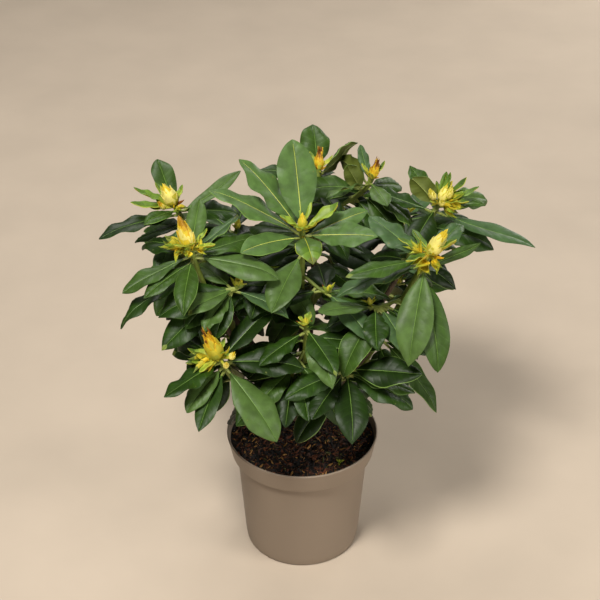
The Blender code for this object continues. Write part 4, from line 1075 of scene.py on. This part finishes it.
def add_strip(heap, leaf, shades):
    """A narrow channelled blade, such as a bract, whose finishes go from its foot to its tip."""
    rings = []
    for row in range(STRIP_ROWS):
        share = row / STRIP_ROWS
        place, across, up = section(leaf, share)
        swell = math.sin(math.pi * min(share + STRIP_FOOT, 1) ** STRIP_LOW) ** STRIP_FULLNESS
        half = max(leaf.width / 2 * swell, STRIP_HALF_WIDTH)
        upper = []
        for spread in SCALE_SPREAD:
            aside = across * half * spread * (1 - CUPPING * DRAWN_IN)
            upper.append(place + (aside + up * half * CUPPING * spread * spread))
        rings.append(upper + [point - up * SCALE_THICKNESS for point in reversed(upper)])
    places, faces = skin(rings, midrib(leaf, 1)[0])
    picks = [shades[0]]
    for row in range(STRIP_ROWS):
        picks += [shades[row * len(shades) // STRIP_ROWS]] * (2 * len(SCALE_SPREAD))
    heap.add(places, faces, picks)


def add_bract(heap, root, turn, rise, length, draw, shades):
    """A small young leaf or bract that curls as it opens."""
    width = length * draw.uniform(*BRACT_WIDTH)
    bend = draw.choice(BRACT_WAYS) * draw.uniform(*BRACT_BEND)
    add_strip(heap, Leaf(root, turn, rise, length, width, bend, draw.uniform(*BRACT_ROLL)), shades)


def add_stalk(heap, place, axis, end, radii):
    """A short green stalk from just below a bud's foot to a place beside it."""
    heap.add(*skin(tube([place - axis * STALK_SINK, end], radii, STALK_SIDES, 0, 0)), "lime")


def add_fan(heap, place, axis, fan, draw):
    """A side cluster of unfolding leaflets on a short stalk."""
    offset, turn, rise, count, length, girth = fan
    root = place + Vector(offset)
    add_stalk(heap, place, axis, root, FAN_STALK)
    for _ in range(count):
        long = length * draw.uniform(*LEAFLET_LENGTH)
        heading, lift = turn + draw.gauss(0, FAN_TURN), rise + draw.gauss(0, FAN_RISE)
        width, bend = long * girth * draw.uniform(*LEAFLET_WIDTH), draw.uniform(*LEAFLET_DROOP)
        roll, first = draw.uniform(*LEAFLET_ROLL), draw.randint(0, 2)
        shades = draw.choice((YOUNG_SHADES[first:first + 4], *FAN_SHADES))
        add_strip(heap, Leaf(root, heading, lift, long, width, bend, roll), shades)


def tube(line, radii, sides, relief, seed):
    """The rings of a round limb along a line, with a rough skin of lengthwise ridges and leaf scars."""
    rings, gone, last = [], 0.0, line[0]
    for (place, turn), radius in zip(stations(line), radii):
        gone += (place - last).length
        last = place
        scar = SCAR_HEIGHT * math.exp(-(((gone % SCAR_SPACING) / SCAR_SPACING - 0.5) / SCAR_WIDTH) ** 2)
        ring = []
        for out in spokes(sides):
            ridge = Vector((out.x * RIDGES_ROUND + seed, out.y * RIDGES_ROUND, gone * RIDGES_ALONG))
            rough = noise.noise(ridge)
            ring.append(place + turn @ out * radius * (1 + relief * (rough + scar)))
        rings.append(ring)
    return rings


def limb_line(path, first, last):
    """Close points along a path, from one share of the way to another."""
    rough = stretch(path, first, last, ROUGH_STEPS)
    length = sum((b - a).length for a, b in zip(rough, rough[1:]))
    return stretch(path, first, last, max(int(length / STEM_RING), 4))


def tapered(count, first, last):
    return [first + (last - first) * i / (count - 1) for i in range(count)]


def make_limbs(paths, finishes):
    """Trunk and boughs in bark, with a collar where each bough leaves, and green twigs beyond them."""
    bark, twigs = Heap(finishes), Heap(finishes)
    line = [TRUNK_FOOT.lerp(TRUNK_TOP, share) for share in tapered(TRUNK_RINGS, 0, 1)]
    radii = []
    for place, radius in zip(line, tapered(TRUNK_RINGS, TRUNK_RADIUS, TRUNK_TOP_RADIUS)):
        flare = math.exp(-(place.z - TRUNK_FOOT.z) / FLARE_HEIGHT)
        radii.append(radius * (1 + (FLARE_RADIUS / TRUNK_RADIUS - 1) * flare))
    bark.add(*skin(tube(line, radii, TRUNK_SIDES, TRUNK_RELIEF, 0)), "bark")
    for number, (name, (_, shoots)) in enumerate(MASSES.items()):
        lead = limb_line(paths[name][0], 0, BOUGH_SHARE)
        radii = tapered(len(lead), BOUGH_RADIUS, BOUGH_TIP_RADIUS)
        radii = [radius * (1 + COLLAR * math.exp(-i / COLLAR_RINGS)) for i, radius in enumerate(radii)]
        bark.add(*skin(tube(lead, radii, STEM_SIDES, BARK_RELIEF, number)), "bark")
        for order, path in enumerate(paths[name]):
            line = limb_line(path, 0 if order else BOUGH_SHARE - TWIG_OVERLAP, 1)
            first = SIDE_TWIG_RADIUS if order else BOUGH_TIP_RADIUS
            last = TWIG_TIP_RADIUS if shoots[order].size < BIG_BUD else RIPE_TIP_RADIUS
            rings = tube(line, tapered(len(line), first, last), STEM_SIDES, TWIG_RELIEF, number)
            twigs.add(*skin(rings), "olive")
    bark.make("bark_limbs", "bark", ["trunk"] + ["bough_" + name for name in MASSES])
    twigs.make("green_twigs", "foliage", MASSES)


def leaf_look(kind, leaf, bright, draw):
    """The finishes dealt out to one leaf. Young ones turn from yellow at the foot to green at the tip."""
    if kind == "young":
        first = draw.randint(1, 3)
        shades = YOUNG_SHADES[first:first + 4]
        if bright:
            shades = BRIGHT_YOUNG
        elif leaf.length > LONG_YOUNG:
            shades = draw.choice(GREENER_YOUNG)
        edge = draw.choice(("lime", shades[1]))
        return dict(blade=shades, vein=shades, edge=edge, rib="lime", under="lime", stalk="butter")
    if leaf.droop > ROLLED_DROOP:
        shades = ["fresh", "fresh", "fresh", "spring", "sprig", "under"]
        return dict(blade=shades, vein=shades, edge="leafy", rib="lime", under="olive", stalk="butter")
    if bright:
        blade, vein, edge, rib = "bright", "bright", draw.choice(("rib", "bright")), "yellow_rib"
    else:
        # Painted shade and painted light: the higher and further out a leaf grows, the paler the green it is
        # dealt, and inner ones are dealt the darkest.
        pale = min(max((leaf.root.z - PAINTED_SHADE_HEIGHT) / (PAINTED_LIGHT_HEIGHT - PAINTED_SHADE_HEIGHT), 0), 1)
        pale *= min(math.hypot(leaf.root.x, leaf.root.y) / PAINTED_LIGHT_REACH, 1)
        pale *= OLDER_PAINTED_LIGHT if kind == "older" else 1
        shares = [dark + (light - dark) * pale for dark, light in zip(PAINTED_SHADE_SHARES, PAINTED_LIGHT_SHARES)]
        blade = draw.choices(LEAF_SHADES, INNER_PAINTED_SHADE_SHARES if kind == "inner" else shares)[0]
        vein, rib = VEIN_SHADES[blade], "rib"
        edge = draw.choice(("rib", vein, vein, blade, blade, blade, blade))
    tip = ["fresh", "olive"] if draw.random() < OLIVE_TIPS else [blade, blade]
    blades, veins = [blade] * TIP_FROM + tip, [vein] * TIP_FROM + tip
    return dict(blade=blades, vein=veins, edge=edge, rib=rib, under="under", stalk="stalk")


def make_foliage(leaves, finishes):
    """The fine leaves, joined by the side of the crown they grow on."""
    draw = random.Random(SEED + 1)
    for side, names in SIDES.items():
        heap = Heap(finishes)
        for name, kind, leaf in [(name, *told) for name in names for told in leaves[name]]:
            large = kind == "named" and leaf.length > BRIGHT_LENGTH
            bright = name == "centre_top" and (kind == "young" or large)
            if kind == "young":
                leaf = scaled(leaf, *YOUNG_SIZE.get(name, OTHER_YOUNG_SIZE))
            look = leaf_look(kind, leaf, bright, draw)
            habit = habit_of(kind == "young", draw)
            if bright and large:
                habit = habit._replace(**OPEN_HABIT)
            rings, tip, strips = fine_leaf(leaf, habit)
            picks = leaf_picks(strips, look)
            places, faces = skin(rings, tip)
            heap.add(places, faces, picks + [look["blade"][-1]] * (len(faces) - len(picks)))
        heap.make("leaves_" + side, "foliage", names)


def make_buds(paths, finishes):
    """The buds at the tips of the shoots, with bracts and small curled leaves round the ripe ones."""
    draw = random.Random(SEED + 2)
    heap = Heap(finishes)
    for name, (_, shoots) in MASSES.items():
        for shoot, path in zip(shoots, paths[name]):
            place, axis = along(path, 1)
            ripe = shoot.size >= BIG_BUD
            manner = MANNERS[BUD_MANNERS.get(name, "open") if ripe else "closed"]
            swell = RIPE_SWELL if ripe else SMALL_SWELL
            add_bud(heap, place - axis * shoot.size * BUD_SINK, axis, shoot.size * swell, draw, manner)
            beside_manner, beside = SIDE_BUDS.get(name, ("", []))
            for offset, length in beside if shoot is shoots[0] else []:
                root = place + Vector(offset)
                lean = (Vector(offset).normalized() * SIDE_BUD_LEAN + UP).normalized()
                add_stalk(heap, place, axis, root + lean * SIDE_BUD_DEPTH, SIDE_BUD_STALK)
                add_bud(heap, root, lean, length, draw, MANNERS[beside_manner])
            for fan in FANS.get(name, []) if ripe else []:
                add_fan(heap, place, axis, fan, draw)
            for i in range(manner.count):
                turn = GOLDEN_TURN * i + draw.uniform(*BRACT_TURN)
                length = shoot.size * draw.uniform(*BRACT_LENGTH) if ripe else draw.uniform(*SMALL_BRACT)
                out = direction(turn, 0) * shoot.size * BRACT_OUT
                root = place + out - axis * draw.uniform(*BRACT_DROP)
                shade = draw.choice(manner.bracts.split())
                tip = draw.choice(("rust", "leafy", shade, shade, shade))
                rise = draw.uniform(*BRACT_RISE)
                add_bract(heap, root, turn, rise, length, draw, [shade, shade, shade, tip])
    heap.make("buds", "foliage", MASSES)


def rounded(profile, radius, steps=4):
    """A profile with each of its corners, but not its ends, turned into a short arc."""
    out = [profile[0]]
    for before, corner, after in zip(profile, profile[1:], profile[2:]):
        corner = Vector(corner)
        back, on = Vector(before) - corner, Vector(after) - corner
        cut = min(radius, back.length * MOST_CUT, on.length * MOST_CUT)
        start, end = corner + back.normalized() * cut, corner + on.normalized() * cut
        for i in range(steps + 1):
            t = i / steps
            out.append(tuple(start * (1 - t) ** 2 + corner * 2 * t * (1 - t) + end * t * t))
    return out + [profile[-1]]


def turned(profile, steps):
    """The rings of a solid turned from a profile whose two ends are on the axis."""
    return [[out * radius + UP * height for out in spokes(steps)] for radius, height in profile[1:-1]]


def make_pot(finishes):
    """The pot's thin wall with its rounded lip, the band under it, the step below and the soft foot."""
    profile = [
        (0, POT_RECESS), (BASE_RADIUS - 0.014, POT_RECESS), (BASE_RADIUS - 0.012, 0),
        (BASE_RADIUS - BASE_EDGE, 0), (BASE_RADIUS - 0.0008, 0.0022), (BASE_RADIUS + 0.0008, 0.012),
        (BODY_TOP_RADIUS, BAND_FOOT - 0.0050), (BODY_TOP_RADIUS + 0.0004, BAND_FOOT - 0.0012),
        (BAND_FOOT_RADIUS - 0.0010, BAND_FOOT - 0.0004), (BAND_FOOT_RADIUS, BAND_FOOT + 0.0004),
        (RIM_RADIUS - 0.0010, POT_HEIGHT - 0.0048), (RIM_RADIUS, POT_HEIGHT - 0.0016),
        (RIM_RADIUS - POT_WALL * 0.35, POT_HEIGHT), (RIM_RADIUS - POT_WALL - 0.0002, POT_HEIGHT),
        (BAND_FOOT_RADIUS - POT_WALL, BAND_FOOT + 0.0030), (BODY_TOP_RADIUS - POT_WALL, BAND_FOOT + 0.0010),
        (BASE_RADIUS - 0.0030, POT_FLOOR), (0, POT_FLOOR),
    ]
    heap = Heap(finishes)
    heap.add(*skin(turned(rounded(profile, POT_ROUNDING), POT_STEPS)), "plastic")
    heap.make("pot_shell", "pot", ["pot"], crease=12)


def compost_height(x, y):
    """How high the loose compost lies, with clods, hollows and a low rise round the stem."""
    reach = math.hypot(x, y) / RIM_RADIUS
    swell = COMPOST_CROWN * max(1 - reach * CROWN_FALL, 0)
    clods = noise.fractal(Vector((x, y, 0)) * CLODS, *CLOD_LAYERS) * CLOD_HEIGHT
    lumps = noise.noise(Vector((x, y, LUMP_LEVEL)) * LUMPS) * LUMP_HEIGHT
    return COMPOST_EDGE - COVER_BELOW_EDGE + swell + clods + lumps


def on_compost(reach, around, above=0.0):
    """The place on the compost, or just above it, that lies this far out and this far round."""
    x, y = reach * math.cos(around), reach * math.sin(around)
    return Vector((x, y, compost_height(x, y) + above))


def compost_bed(wall):
    """The points and faces of the crumbs: a disc of rings, with a skirt and a flat underside."""
    places = [on_compost(0, 0)]
    for ring in range(1, CRUMB_RINGS + 1):
        for k in range(CRUMB_STEPS):
            out = direction(360 * (k + 0.5 * (ring % 2)) / CRUMB_STEPS, 0) * wall * ring / CRUMB_RINGS
            places.append(Vector((out.x, out.y, compost_height(out.x, out.y))))
    rim = 1 + (CRUMB_RINGS - 1) * CRUMB_STEPS
    places += [Vector((place.x, place.y, COMPOST_EDGE - SKIRT)) for place in places[rim:]]
    faces = [(0, 1 + k, 1 + (k + 1) % CRUMB_STEPS) for k in range(CRUMB_STEPS)]
    faces += [(1 + a, 1 + d, 1 + c, 1 + b) for a, b, c, d in bands(CRUMB_RINGS + 1, CRUMB_STEPS)]
    faces.append(tuple(reversed(range(rim + CRUMB_STEPS, rim + 2 * CRUMB_STEPS))))
    return places, faces


def chip(place, turn, tilt, length, width, thick, draw):
    """A splinter of bark: a short, uneven, tapering slab."""
    spin = Matrix.Rotation(turn, 3, "Z") @ Matrix.Rotation(tilt, 3, "Y")
    spin = spin @ Matrix.Rotation(draw.uniform(*CHIP_SPIN), 3, "X")
    rings = []
    for share, swell in CHIP_PROFILE:
        ring = []
        for across, lift in CHIP_SECTION:
            jolt = draw.uniform(*CHIP_SIDES)
            ahead = length * (share + draw.uniform(*CHIP_ENDS))
            aside = width / 2 * across * swell * jolt
            ring.append(place + spin @ Vector((ahead, aside, thick * lift * swell)))
        rings.append(ring)
    return skin(rings)


def add_chips(heap, wall, draw):
    for _ in range(CHIPS):
        reach, around = wall * math.sqrt(draw.random()) * CHIP_REACH, draw.uniform(0, math.tau)
        length = draw.uniform(*CHIP_LENGTH) * draw.uniform(*CHIP_VARIETY)
        if reach + length / 2 > wall:
            continue
        shade = draw.choices(list(CHIP_SHADES), list(CHIP_SHADES.values()))[0]
        if shade == "grit":
            length = draw.uniform(*GRIT_LENGTH)
        width = min(length * draw.uniform(*CHIP_WIDTH), WIDEST_CHIP)
        tilt = draw.gauss(0, CHIP_TILT)
        place = on_compost(reach, around, CHIP_ABOVE + length * CHIP_LIFT * abs(tilt))
        turn, thick = draw.uniform(0, math.tau), width * CHIP_THICKNESS
        heap.add(*chip(place, turn, tilt, length, width, thick, draw), shade)


def add_fibres(heap, wall, draw):
    for _ in range(FIBRES):
        reach, around = wall * math.sqrt(draw.random()) * FIBRE_REACH, draw.uniform(0, math.tau)
        line = []
        for i in range(FIBRE_POINTS):
            above = FIBRE_ABOVE + FIBRE_ARCH * math.sin(i * FIBRE_STEP)
            line.append(on_compost(reach, around, above))
            around += draw.uniform(*FIBRE_TURN)
            reach += draw.uniform(*FIBRE_STRAY)
        fibre = tube(line, [FIBRE_RADIUS] * FIBRE_POINTS, FIBRE_SIDES, 0, 0)
        heap.add(*skin(fibre), draw.choice(("tan", "chestnut", "rusty")))


def make_compost(finishes):
    """Dark crumbs with splinters of bark, fine roots and fibres, pale grit and a green seedling."""
    draw, heap = random.Random(SEED + 3), Heap(finishes)
    narrowing = (RIM_RADIUS - BAND_FOOT_RADIUS) * COMPOST_BELOW_RIM / BAND_HEIGHT
    wall = RIM_RADIUS - POT_WALL - narrowing - COMPOST_GAP
    heap.add(*compost_bed(wall), "peat")
    add_chips(heap, wall, draw)
    add_fibres(heap, wall, draw)
    root = Vector((*SPROUT, compost_height(*SPROUT)))
    for turn, rise, length in SPROUT_LEAVES:
        leaf = Leaf(root, turn, rise, length, length * SPROUT_WIDTH, SPROUT_DROOP, 0)
        add_strip(heap, leaf, ["young", "lime"])
    heap.make("compost_cover", "compost", ["compost"], crease=35)


def make_floor():
    mesh = bpy.data.meshes.new("floor")
    mesh.from_pydata(FLOOR_CORNERS, [], [(0, 1, 2, 3)])
    mesh.materials.append(finish("floor_plaster", **FLOOR))
    floor = add_object("floor", mesh)


def make_light():
    """Soft round lamps turned to the plant, and a dim warm sky."""
    for name, place, size, power, colour in LIGHTS:
        light = bpy.data.lights.new(name, "AREA")
        light.shape = "DISK"
        light.size = size
        light.energy = power
        light.color = colour
        lamp = add_object(name, light)
        lamp.location = place
        lamp.rotation_euler = (LIGHT_AIM - Vector(place)).to_track_quat("-Z", "Y").to_euler()
    world = bpy.data.worlds.new("sky")
    world.use_nodes = True
    world.node_tree.nodes["Background"].inputs["Color"].default_value = (*SKY, 1)
    world.node_tree.nodes["Background"].inputs["Strength"].default_value = SKY_STRENGTH
    bpy.context.scene.world = world
    bpy.context.scene.view_settings.view_transform = "Standard"


def make_camera():
    camera = bpy.data.cameras.new("camera")
    camera.lens = CAMERA_LENS
    camera.sensor_width = CAMERA_SENSOR
    shot = add_object("camera", camera)
    shot.location = CAMERA_PLACE
    shot.rotation_euler = (math.radians(90 - CAMERA_PITCH), 0, 0)
    bpy.context.scene.camera = shot


def main():
    make_floor()
    make_light()
    make_camera()
    finishes = {name: finish(name, **told) for name, told in FINISHES.items()}
    paths = {name: shoot_paths(height, shoots) for name, (height, shoots) in MASSES.items()}
    make_limbs(paths, finishes)
    make_foliage(grow_leaves(paths), finishes)
    make_buds(paths, finishes)
    make_compost(finishes)
    make_pot(finishes)


main()
